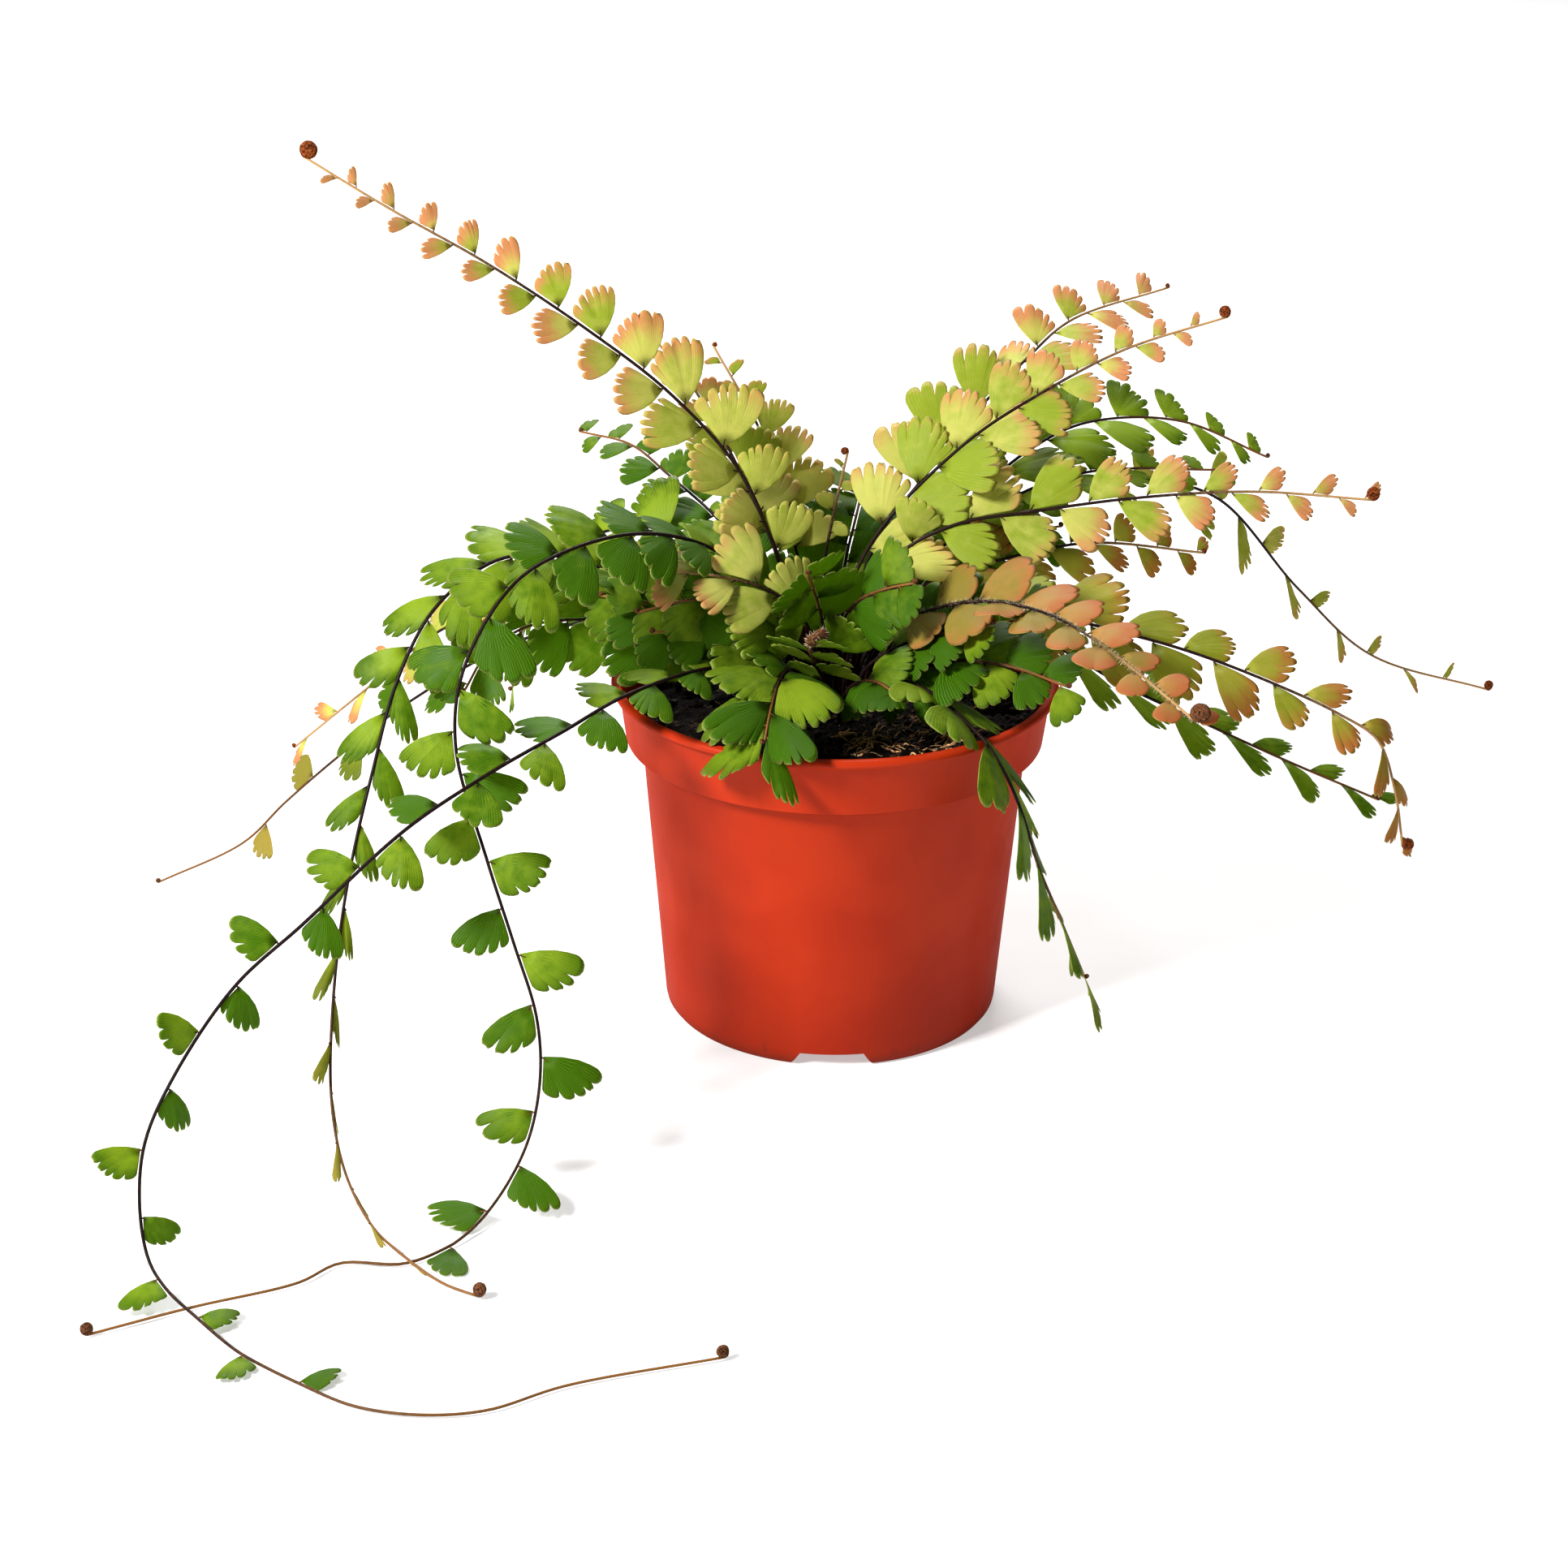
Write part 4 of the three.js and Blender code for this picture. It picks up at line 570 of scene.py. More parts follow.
class Shader:
    """A material whose nodes are made and joined one by one."""

    def __init__(self, name):
        self.material = bpy.data.materials.new(name)
        self.material.use_nodes = True
        self.tree = self.material.node_tree
        self.tree.nodes.clear()
        self.place = self.add("TexCoord").outputs["Object"]

    def add(self, kind, inputs=None, **settings):
        node = self.tree.nodes.new("ShaderNode" + kind)
        for key, value in settings.items():
            setattr(node, key, value)
        for socket, value in (inputs or {}).items():
            if isinstance(value, bpy.types.NodeSocket):
                self.tree.links.new(value, node.inputs[socket])
            else:
                node.inputs[socket].default_value = value
        return node

    def number(self, name):
        """A number kept at the mesh's points."""
        return self.add("Attribute", attribute_name=name).outputs["Fac"]

    def math(self, operation, *values):
        return self.add("Math", dict(enumerate(values)), operation=operation).outputs[0]

    def span(self, value, low, high, to_low=0.0, to_high=1.0):
        """value from low to high, as a smooth step from to_low to to_high."""
        inputs = {"Value": value, "From Min": low, "From Max": high, "To Min": to_low, "To Max": to_high}
        return self.add("MapRange", inputs, interpolation_type="SMOOTHSTEP").outputs["Result"]

    def mix(self, factor, first, second):
        """The first colour with that share of the second. Sockets 6 and 7 take colours."""
        return self.add("Mix", {0: factor, 6: first, 7: second}, data_type="RGBA").outputs[2]

    def noise(self, feature, detail=2.0, roughness=0.5, stretch=None):
        """Soft noise with features of about that many millimetres."""
        place = self.place
        if stretch:
            place = self.add("Mapping", {"Vector": place, "Scale": stretch}).outputs["Vector"]
        inputs = {"Vector": place, "Scale": 1 / (feature * MM), "Detail": detail, "Roughness": roughness}
        return self.add("TexNoise", inputs).outputs["Fac"]

    def bump(self, height, strength, distance):
        inputs = {"Height": height, "Strength": strength, "Distance": distance * MM}
        return self.add("Bump", inputs).outputs["Normal"]

    def surface(self, color, roughness, specular, normal):
        inputs = {
            "Base Color": color, "Roughness": roughness, "Specular IOR Level": specular, "Normal": normal,
        }
        return self.add("BsdfPrincipled", inputs).outputs["BSDF"]

    def finish(self, surface):
        self.add("OutputMaterial", {"Surface": surface})
        return self.material


def leaf_material(name, heart, heart_other, edge, edge_from, edge_with_age, late, glow, shine):
    """A thin leaf that light shines through. heart and heart_other are the colours that the
    leaflets start with, edge the colour at their lobes, which reaches further in towards the
    frond's tip, late the colour at the tip of a long frond, and glow the colour of light that
    comes through."""
    s = Shader(name)
    across = s.number("leaf_across")
    out = s.number("leaf_out")
    tone_and_painted_light = s.number("leaf_tone_and_painted_light")
    age = s.number("leaf_age")
    under = s.number("leaf_under")
    patches = s.noise(3.2, 3, 0.6)
    grain = s.noise(0.35, 2, 0.6)
    # Each leaf picks between heart and heart_other by its tone number plus noise. On some fronds that
    # number is raised to light them up as painted light.
    body = s.mix(s.span(s.math("ADD", tone_and_painted_light, patches), 0.55, 1.45), heart, heart_other)
    reach = s.math("MULTIPLY_ADD", age, edge_with_age, out)
    reach = s.math("ADD", reach, s.math("MULTIPLY_ADD", patches, 0.5, -0.25))
    reach = s.math("ADD", reach, s.math("MULTIPLY_ADD", tone_and_painted_light, 0.3, -0.15))
    body = s.mix(s.span(reach, edge_from, edge_from + 0.55), body, edge)
    body = s.mix(s.span(age, LATE_FROM, OLDEST, 0, LATE_SHARE), body, late)
    few, many = (s.math("ABSOLUTE", s.math("COSINE", s.math("MULTIPLY", across, count * math.pi)))
                 for count in (VEINS, 2 * VEINS))
    forked = s.math("GREATER_THAN", out, FORKED_FROM)
    wave = s.math("ADD", s.math("MULTIPLY", many, forked),
                  s.math("MULTIPLY", few, s.math("SUBTRACT", 1, forked)))
    vein = s.math("POWER", wave, VEIN_SHARPNESS)
    body = s.mix(s.math("MULTIPLY", vein, VEIN_TONE), body, glow)
    side = s.math("ABSOLUTE", s.math("MULTIPLY_ADD", across, 2, -1))
    margin = s.math("MAXIMUM", s.span(out, 0.955, 1), s.span(side, 0.975, 1))
    body = s.mix(s.math("MULTIPLY", margin, 0.5), body, LEAF_MARGIN)
    body = s.mix(s.math("MULTIPLY", under, 0.2), body, LEAF_UNDERSIDE)
    height = s.math("ADD", s.math("MULTIPLY", vein, -0.6), s.math("MULTIPLY", grain, 0.5))
    normal = s.bump(height, 0.35, 0.12)
    front = s.surface(body, s.span(patches, 0.3, 0.7, shine, shine + 0.14), 0.12, normal)
    through = {"Color": s.mix(0.55, body, glow), "Normal": normal}
    back = s.add("BsdfTranslucent", through).outputs["BSDF"]
    return s.finish(s.add("MixShader", {0: TRANSLUCENCY, 1: front, 2: back}).outputs["Shader"])


def stem_material(name, foot, tip, tip_from):
    """A wiry polished stem, dark at its foot and lighter where it is young."""
    s = Shader(name)
    along = s.number("stem_along")
    streak = s.noise(1.1, 3, 0.6)
    place = s.math("MULTIPLY_ADD", streak, 0.25, s.math("SUBTRACT", along, 0.12))
    body = s.mix(s.span(place, tip_from, 1.02), foot, tip)
    body = s.mix(s.span(streak, 0.5, 0.8, 0, 0.35), body, STEM_STREAK)
    rough = s.span(streak, 0.3, 0.7, 0.38, 0.6)
    return s.finish(s.surface(body, rough, 0.1, s.bump(streak, 0.3, 0.1)))


def wool_material(name, dark, light):
    """The scaly wool of a coiled tip, or the hairs on a stem."""
    s = Shader(name)
    tuft = s.noise(0.5, 3, 0.7)
    body = s.mix(s.span(tuft, 0.35, 0.65), dark, light)
    rough = s.span(tuft, 0.3, 0.7, 0.6, 0.85)
    return s.finish(s.surface(body, rough, 0.06, s.bump(tuft, 0.6, 0.2)))


def pot_material():
    """Moulded orange red plastic, softly shiny, a little soiled under the lip and at the foot,
    darker still at the foot's edge, with painted shade on its lower body and a thin painted
    shadow under the band.
    """
    s = Shader("pot_plastic")
    height = s.math("DIVIDE", s.add("SeparateXYZ", {"Vector": s.place}).outputs["Z"], MM)
    cloud = s.noise(26, 3, 0.55)
    scuff = s.noise(5, 4, 0.65, (1, 1, 0.35))
    peel = s.noise(0.55, 2, 0.5)
    body = s.mix(s.span(cloud, 0.3, 0.7), POT_RED, POT_RED_DEEPER)
    # Painted shade: the body darkens towards the bottom, by up to half at the foot and fading out by 40 mm.
    body = s.mix(s.span(height, 2, 40, 0.5, 0), body, POT_PAINTED_SHADE)
    low = s.span(height, 0, 14, 1, 0)
    soiled = s.math("MULTIPLY_ADD", low, 0.5, 0.06)
    patches = s.math("MULTIPLY", s.span(scuff, 0.56, 0.74), soiled)
    # The lowest 5 mm of the foot is darkened with the same dark brown, by up to 45 percent.
    at_foot = s.span(height, 0, 5, 0.45, 0)
    # Painted shadow: a thin dark line just under the band's lower edge, where the band overhangs the body.
    band_painted_shadow = s.math("MULTIPLY", s.span(height, BAND_FOOT - 1.6, BAND_FOOT - 0.4, 0, 0.5),
                        s.math("LESS_THAN", height, BAND_FOOT))
    # The soiled patches, the darker foot and the painted shadow under the band, all mixed in the same dark
    # brown.
    for dirt_and_painted_shade in (patches, at_foot, band_painted_shadow):
        body = s.mix(dirt_and_painted_shade, body, DIRT_AND_PAINTED_SHADE)
    inside = s.math("MULTIPLY", s.span(height, 80, 92), s.span(scuff, 0.5, 0.7, 0, 0.2))
    body = s.mix(inside, body, DRY_DIRT)
    worn = s.math("MULTIPLY", s.span(scuff, 0.4, 0.8), 0.1)
    rough = s.math("ADD", s.span(cloud, 0.3, 0.7, 0.3, 0.36), worn)
    normal = s.bump(s.math("ADD", s.math("MULTIPLY", peel, 0.35), scuff), 0.08, 0.12)
    shiny = s.surface(body, rough, 0.08, normal)
    dull = s.add("BsdfDiffuse", {"Color": body, "Normal": normal}).outputs["BSDF"]
    edge_on = s.add("LayerWeight", {"Blend": 0.5}).outputs["Facing"]
    dullness = s.span(edge_on, 0.15, 0.7, 0.1, 0.8)
    return s.finish(s.add("MixShader", {0: dullness, 1: shiny, 2: dull}).outputs["Shader"])


def soil_material():
    """Damp peat: nearly black, with brown crumbs."""
    s = Shader("potting_mix")
    clod = s.noise(3.4, 5, 0.7)
    fine = s.noise(0.8, 4, 0.7)
    body = s.mix(s.span(clod, 0.42, 0.72), WET_PEAT, PEAT)
    body = s.mix(s.span(fine, 0.62, 0.78, 0, 0.5), body, PEAT_CRUMB)
    height = s.math("ADD", clod, s.math("MULTIPLY", fine, 0.5))
    rough = s.span(fine, 0.3, 0.7, 0.72, 0.95)
    return s.finish(s.surface(body, rough, 0.05, s.bump(height, 0.9, 0.7)))


def chip_material(name, dark, light, feature):
    """Bits of bark, straw and stone in the mix."""
    s = Shader(name)
    streak = s.noise(feature, 4, 0.65)
    body = s.mix(s.span(streak, 0.35, 0.65), dark, light)
    rough = s.span(streak, 0.3, 0.7, 0.6, 0.9)
    return s.finish(s.surface(body, rough, 0.12, s.bump(streak, 0.6, 0.25)))


# Meshes.

class Shells:
    """Closed shells in millimetres, gathered for one mesh, with numbers kept at their points."""

    def __init__(self, *channels):
        self.points = []
        self.faces = []
        self.slots = []
        self.values = {channel: [] for channel in channels}
        self.count = 0

    def add(self, points, faces, slot=0, **values):
        points = np.asarray(points, float)
        self.faces.extend(tuple(self.count + i for i in face) for face in faces)
        self.slots.extend([slot] * len(faces))
        self.points.append(points)
        self.count += len(points)
        for channel, kept in self.values.items():
            kept.append(np.broadcast_to(np.asarray(values.get(channel, 0), float), (len(points),)))

    def build(self, name, materials, smooth=True):
        mesh = bpy.data.meshes.new(name)
        mesh.from_pydata((np.concatenate(self.points) * MM).tolist(), [], self.faces)
        mesh.polygons.foreach_set("material_index", self.slots)
        mesh.polygons.foreach_set("use_smooth", [smooth] * len(self.faces))
        for channel, kept in self.values.items():
            layer = mesh.attributes.new(channel, "FLOAT", "POINT")
            layer.data.foreach_set("value", np.concatenate(kept))
        for material in materials:
            mesh.materials.append(material)
        mesh.update()
        piece = bpy.data.objects.new(name, mesh)
        bpy.context.scene.collection.objects.link(piece)
        return piece


def circle(radius, sides):
    """Points round the pot's axis."""
    turns = [2 * math.pi * i / sides for i in range(sides)]
    return [(radius * math.cos(turn), radius * math.sin(turn)) for turn in turns]


def walls(rings, sides, first=0):
    """Faces from each of so many rings of points to the next. first is their first point."""
    faces = []
    for near in range(first, first + (rings - 1) * sides, sides):
        for i in range(sides):
            j = (i + 1) % sides
            faces.append((near + i, near + j, near + sides + j, near + sides + i))
    return faces


def bezier(first, handle, last, t):
    """A curve from first to last, drawn towards the handle."""
    return first * (1 - t) ** 2 + handle * 2 * t * (1 - t) + last * t ** 2


def tube_shell(centres, radii, sides):
    """A closed tube along a row of places, with its rings kept from twisting."""
    centres = np.asarray(centres, float)
    along = unit(np.gradient(centres, axis=0))
    across = np.cross(along[0], (0, 0, 1) if abs(along[0][2]) < 0.9 else (1, 0, 0))
    turn = np.arange(sides) * 2 * math.pi / sides
    rings = []
    for centre, forward, radius in zip(centres, along, np.broadcast_to(radii, len(centres))):
        across = unit(across - forward * np.dot(across, forward))
        second = np.cross(forward, across)
        rings.append(centre + radius * (np.outer(np.cos(turn), across) + np.outer(np.sin(turn), second)))
    last = (len(rings) - 1) * sides
    ends = [tuple(reversed(range(sides))), tuple(last + i for i in range(sides))]
    return np.concatenate(rings), walls(len(rings), sides) + ends


def spike_shell(root, direction, length, radius):
    """A hair: a slender three-sided spike."""
    direction = unit(direction)
    across = unit(np.cross(direction, (0.3, 0.5, 0.8)))
    second = np.cross(direction, across)
    foot = [root + radius * (math.cos(a) * across + math.sin(a) * second)
            for a in (0, 2 * math.pi / 3, 4 * math.pi / 3)]
    return [*foot, root + direction * length], [(0, 2, 1), (0, 1, 3), (1, 2, 3), (2, 0, 3)]


# The fronds.

class Route:
    """A frond's route as the frame has it: a centripetal spline, read by length."""

    def __init__(self, frond):
        x, y, z = frond["route"][0]
        start = [[x, y, z + rise] for rise in STRAIGHT_RISE]
        points = np.array(start + frond["route"][1:], float)
        ends = np.vstack([2 * points[0] - points[1], points, 2 * points[-1] - points[-2]])
        t = np.linspace(0, 1, ROUTE_SAMPLES + 1) * (len(points) - 1)
        k = np.minimum(t.astype(int), len(points) - 2)
        w = (t - k)[:, None]
        p0, p1, p2, p3 = (ends[k + i] for i in range(4))
        pairs = ((p0, p1), (p1, p2), (p2, p3))
        d0, d1, d2 = (np.sum((b - a) ** 2, axis=1)[:, None] ** 0.25 for a, b in pairs)
        m1 = ((p1 - p0) / d0 - (p2 - p0) / (d0 + d1) + (p2 - p1) / d1) * d1
        m2 = ((p2 - p1) / d1 - (p3 - p1) / (d1 + d2) + (p3 - p2) / d2) * d1
        squared = 3 * (p2 - p1) - 2 * m1 - m2
        cubed = 2 * (p1 - p2) + m1 + m2
        self.samples = p1 + m1 * w + squared * w ** 2 + cubed * w ** 3
        self.samples[:, 2] = np.maximum(self.samples[:, 2], LOWEST)
        steps = np.linalg.norm(np.diff(self.samples, axis=0), axis=1)
        self.lengths = np.concatenate([[0], np.cumsum(steps)])
        self.length = self.lengths[-1]
        self.faces = unit(frond["face"])

    def point(self, s):
        """The place at a length from the start, or the places at several."""
        return np.stack([np.interp(s, self.lengths, self.samples[:, i]) for i in range(3)], axis=-1)

    def past(self, s):
        """The same, going straight on past the tip."""
        forward = unit(self.samples[-1] - self.samples[-4])
        return self.point(s) + np.maximum(np.asarray(s) - self.length, 0)[..., None] * forward

    def axes(self, s):
        """The direction of travel, the way the upper side faces and the side to its right."""
        along = unit(self.point(s + HALF_STEP) - self.point(s - HALF_STEP))
        place = min(max(s / self.length, 0), 1) * (len(self.faces) - 1)
        k = min(int(place), max(len(self.faces) - 2, 0))
        following = self.faces[min(k + 1, len(self.faces) - 1)]
        face = self.faces[k] + (following - self.faces[k]) * (place - k)
        up = unit(face - along * np.dot(face, along))
        return along, up, np.cross(along, up)


def frame_numbers(seed):
    """The frame's own repeatable random numbers between -1 and 1."""
    state = seed * SEED_STEP + SEED_START
    while True:
        state = (state * DRAW_FACTOR + DRAW_TERM) % DRAW_RANGE
        yield state / DRAW_RANGE * 2 - 1


def leaflet_plan(frond, route, seed):
    """Where each leaflet of a frond stands in the frame, how long it is and how it is turned."""
    draw = frame_numbers(seed)
    start = frond["first"] + BURIED
    stop = min(frond["last"] + BURIED, route.length - END_BARE)
    plan = []
    for i in range(frond["leaflets"]):
        u = i / (frond["leaflets"] - 1)
        rising = FIRST_LEAF + (1 - FIRST_LEAF) * min(u / FULL_FROM, 1)
        falling = 1 + (frond["shrink"] - 1) * max(u - FULL_FROM, 0) / (1 - FULL_FROM)
        size = frond["size"] * rising * falling * (1 + SIZE_SCATTER * next(draw))
        tilt = frond["fold"] + TILT_SCATTER * next(draw)
        lean = frond["lean"][0] + (frond["lean"][1] - frond["lean"][0]) * u
        swing = lean + SWING_SCATTER * next(draw)
        s = start + (stop - start) * (u - frond["spread"] * u * (1 - u))
        plan.append(dict(s=s, size=size, tilt=tilt, swing=swing, hand=1 if i % 2 == 0 else -1, u=u))
    return plan


def leaf_axes(route, leaf):
    """The way out along a leaflet, and the way its upper side faces."""
    _, up, side = route.axes(leaf["s"] + STALK / 2)
    turn = math.radians(leaf["tilt"])
    out = side * leaf["hand"] * math.cos(turn) + up * math.sin(turn)
    return out, up * math.cos(turn) - side * leaf["hand"] * math.sin(turn)


def frame_tip(route, leaf, age):
    """The upper corner that the frame's leaflet has at its outermost point."""
    kind = OUTLINE_KIND[age]
    if leaf["size"] < SMALL_LEAF:
        kind = "tiny" if leaf["size"] < TINY_LEAF else "small"
    a, w = LEAF_POINT[kind]
    swing = math.radians(leaf["swing"])
    out, normal = leaf_axes(route, leaf)
    reach = max(w * leaf["size"] * math.cos(swing), LEAF_START)
    tip = route.point(leaf["s"] + (a + w * math.sin(swing)) * leaf["size"]) + out * reach
    tip[2] = max(tip[2], LOWEST)
    return tip + normal * LEAF_HALF_THICK


def fitted_leaflets(frond, route, plan, node):
    """The plan with each leaflet scaled and turned as the frame's node has it. Leaflets that the
    frame left out for want of room are left out."""
    tree = KDTree(len(node.data.vertices))
    for vertex in node.data.vertices:
        tree.insert(vertex.co / MM, vertex.index)
    tree.balance()
    changes = [(scale, tilt, swing) for scale in SCALES for tilt, swing in TURNS]
    fitted = []
    for leaf in plan:
        for scale, tilt, swing in changes:
            size = leaf["size"] * scale
            tried = dict(leaf, size=size, tilt=leaf["tilt"] + tilt, swing=leaf["swing"] + swing)
            gap = tree.find(Vector(frame_tip(route, tried, frond["age"])))[2]
            if gap < FOUND_WITHIN:
                fitted.append(tried)
                break
    return fitted


def lobed_edge(form, size, rng):
    """The cut margin: for each column its place across the fan, how far it reaches out along
    its vein, and how far its lobe is lifted."""
    shallow = min(size / FULL_LEAF, 1)
    scatter = rng.uniform(-LOBE_COUNT_SCATTER, LOBE_COUNT_SCATTER)
    lobes = max(2, round(form["lobes"] * shallow + scatter))
    ends = np.cumsum([0] + [1 + LOBE_WIDTH_SCATTER * rng.uniform(-1, 1) for _ in range(lobes)])
    ends = ends / ends[-1]
    cuts = [form["depth"] * shallow * rng.uniform(*CUT_SCATTER) * (1 - OUTER_CALM * end)
            for end in ends[1:-1]]
    cuts = [CORNER_CUT, *cuts, CORNER_CUT]
    columns = []
    for k in range(lobes):
        lift = rng.uniform(-1, 1)
        nick = rng.choice(NICKS)
        for f in LOBE_STEPS:
            cut = cuts[k] if f < 0.5 else cuts[k + 1]
            edge = abs(2 * f - 1)
            reach = 1 - cut * edge ** LOBE_SHARPNESS - LOBE_ROUNDNESS * edge ** 2 - nick * (f == 0.5)
            columns.append((ends[k] + f * (ends[k + 1] - ends[k]), reach, lift * math.sin(math.pi * f)))
    columns.append((1, 1 - CORNER_CUT - LOBE_ROUNDNESS, 0))
    return np.array(columns).T


def leaf_fan(form, size, u, across, reach, rows):
    """The flat fan: how far its points are along the rib and away from it, in leaf lengths."""
    stalk = np.array([STALK / 2 / size + ROOT_SHIFT, LEAF_ROOT / size])
    inner, handle, outer = (np.array(form[key]) for key in ("inner", "handle", "outer"))
    v = across[:, None]
    margin = bezier(inner, handle, outer, v)
    bow_out = BOW_AT_INNER + (BOW_AT_OUTER - BOW_AT_INNER) * v
    middle = (stalk + margin) / 2 + np.concatenate([-CROWN_SIDE_ARCH * v ** 2, bow_out], axis=1)
    tau = (rows * (1 - (1 - reach) * rows ** 3))[..., None]
    flat = bezier(stalk, middle, margin, tau)
    closing = 1 - form["folded"] * u ** 2
    return stalk[0] + (flat[..., 0] - stalk[0]) * closing, flat[..., 1]


def leaf_height(form, across, rows, lift, a, w, rng):
    """How far the fan's points are raised, in leaf lengths."""
    droop = form["droop"] * rng.uniform(*DROOP_SCATTER)
    twist = TWIST_SCATTER * rng.uniform(-1, 1)
    phase = rng.uniform(0, 6)
    fall = SIDE_FALL * rows ** 2 * (2 * across - 1) ** 2
    ripple = RIPPLE * np.sin(RIPPLE_TURNS * across + phase) * rows ** 2
    return -droop * w ** 2 - fall + twist * w * (a - TWIST_AXIS) + LOBE_LIFT * lift * rows ** 3 + ripple


def sheet_faces(grid):
    """Faces from point 0, the leaflet's root, over a grid of points, column by column."""
    faces = []
    for c in range(grid.shape[1] - 1):
        faces.append((0, grid[0, c], grid[0, c + 1]))
        faces += [(near[c], far[c], far[c + 1], near[c + 1]) for near, far in zip(grid, grid[1:])]
    return faces


def leaf_shell(route, leaf, form, rng):
    """One fine leaflet as a thin closed shell, with the numbers that its material reads."""
    size = leaf["size"] * form["fullness"]
    across, reach, lift = lobed_edge(form, size, rng)
    rows = np.array(LEAF_ROWS)[:, None]
    a, w = leaf_fan(form, size, leaf["u"], across, reach, rows)
    height = leaf_height(form, across, rows, lift, a, w, rng)
    swing = math.radians(leaf["swing"] + form["leaning"] * leaf["u"])
    out, normal = leaf_axes(route, leaf)
    travel = leaf["s"] + (a + w * math.sin(swing)) * size
    sheet = route.past(travel) + (w * size * math.cos(swing))[..., None] * out
    sheet = sheet + (height * size)[..., None] * normal
    sheet[..., 2] = np.maximum(sheet[..., 2], LOWEST_SHEET + ROWS_APART * rows)
    thick = (1 - rows ** MARGIN_SHARPNESS) * (1 - np.abs(2 * across - 1) ** SIDE_SHARPNESS)
    offset = (SHEET_HALF * thick)[..., None] * normal
    root = route.point(leaf["s"] + STALK / 2) + LEAF_ROOT * math.cos(swing) * out
    under = (sheet - offset)[:-1, 1:-1].reshape(-1, 3)
    points = np.concatenate([[root], (sheet + offset).reshape(-1, 3), under])
    grid = (len(rows), len(across))
    top = 1 + np.arange(grid[0] * grid[1]).reshape(grid)
    bottom = top.copy()
    bottom[:-1, 1:-1] = 1 + top.size + np.arange(len(under)).reshape(grid[0] - 1, grid[1] - 2)
    faces = []
    for side, flipped in ((top, leaf["hand"] > 0), (bottom, leaf["hand"] < 0)):
        faces += [face[::-1] if flipped else face for face in sheet_faces(side)]
    values = dict(
        leaf_under=np.concatenate([np.zeros(1 + top.size), np.ones(len(under))]),
        # A random tone plus the form's colour shift, which on some fronds is painted light.
        leaf_tone_and_painted_light=rng.random() + form["paler_and_painted_light"],
        leaf_age=leaf["u"] * min(route.length / LONG_FROND, OLDEST) * form["ageing"],
    )
    for channel, at_root, numbers in (("leaf_out", 0, rows), ("leaf_across", 0.5, across)):
        numbers = np.broadcast_to(numbers, grid)
        values[channel] = np.concatenate([[at_root], numbers.ravel(), numbers[:-1, 1:-1].ravel()])
    return points, faces, values


def add_petiole(shells, route, leaf):
    """The short dark stalk that joins a leaflet to the stem."""
    swing = math.radians(leaf["swing"])
    out, _ = leaf_axes(route, leaf)
    share = np.linspace(0, 1, PETIOLE_STEPS)
    reach = LEAF_ROOT + PETIOLE_OUT * leaf["size"]
    start = route.point(leaf["s"] + STALK / 2 + share * PETIOLE_ALONG * leaf["size"])
    centres = start + np.outer(share * reach * math.cos(swing), out)
    centres[:, 2] = np.maximum(centres[:, 2], LOWEST_SHEET)
    radii = np.linspace(*PETIOLE_RADII, PETIOLE_STEPS)
    shells.add(*tube_shell(centres, radii, PETIOLE_SIDES), STEM_SLOT, stem_along=0.3 + 0.6 * leaf["u"])


def add_stem(shells, route):
    """The stem from just under the soil to the coiled tip."""
    count = int((route.length - BURIED) / STEM_STEP) + 2
    stations = np.linspace(BURIED - STEM_UNDER_SOIL, route.length, count)
    share = stations / route.length
    radii = STEM_FOOT_RADIUS + (STEM_TIP_RADIUS - STEM_FOOT_RADIUS) * share
    tube = tube_shell(route.point(stations), radii, STEM_SIDES)
    shells.add(*tube, STEM_SLOT, stem_along=np.repeat(share, STEM_SIDES))


def add_coil(shells, route, size, hair_slot, rng):
    """The coiled tip: a tapering spiral with scaly hairs, seen flat from the front."""
    end = route.point(route.length)
    along, up, _ = route.axes(route.length)
    side = unit(TOWARDS_CAMERA - along * np.dot(along, TOWARDS_CAMERA))
    turned_up = np.cross(side, along)
    up = turned_up * math.copysign(1, np.dot(turned_up, up))
    share = np.linspace(0, 1, COIL_STEPS)
    angle = share * COIL_TURNS * 2 * math.pi
    radius = COIL_RADIUS * size * (1 - COIL_TIGHTENING * share)
    hub = end + up * COIL_RADIUS * size
    swirl = np.outer(np.sin(angle), along) - np.outer(np.cos(angle), up)
    centres = hub + radius[:, None] * swirl + np.outer(share * COIL_FORWARD, side)
    thick = COIL_THICK * size * np.minimum(share * COIL_SWELLING, 1) * (1 - COIL_THINNING * share)
    thick = np.maximum(thick, STEM_TIP_RADIUS)
    points, faces = tube_shell(centres, thick, COIL_SIDES)
    lumps = np.array([noise.noise_vector(Vector(p) * COIL_LUMPS_PER_MM) for p in points])
    shells.add(points + COIL_LUMPS * lumps, faces, WOOL_SLOT, stem_along=1)
    for _ in range(int(HAIRS_PER_COIL * size)):
        k = rng.randrange(2, COIL_STEPS)
        way = unit([rng.gauss(0, 1) for _ in range(3)])
        way = unit(way + swirl[k] * HAIR_TREND)
        root = centres[k] + way * thick[k] * HAIR_SUNK
        length = rng.uniform(*HAIR_LENGTHS) * size
        shells.add(*spike_shell(root, way, length, HAIR_RADIUS), hair_slot, stem_along=1)


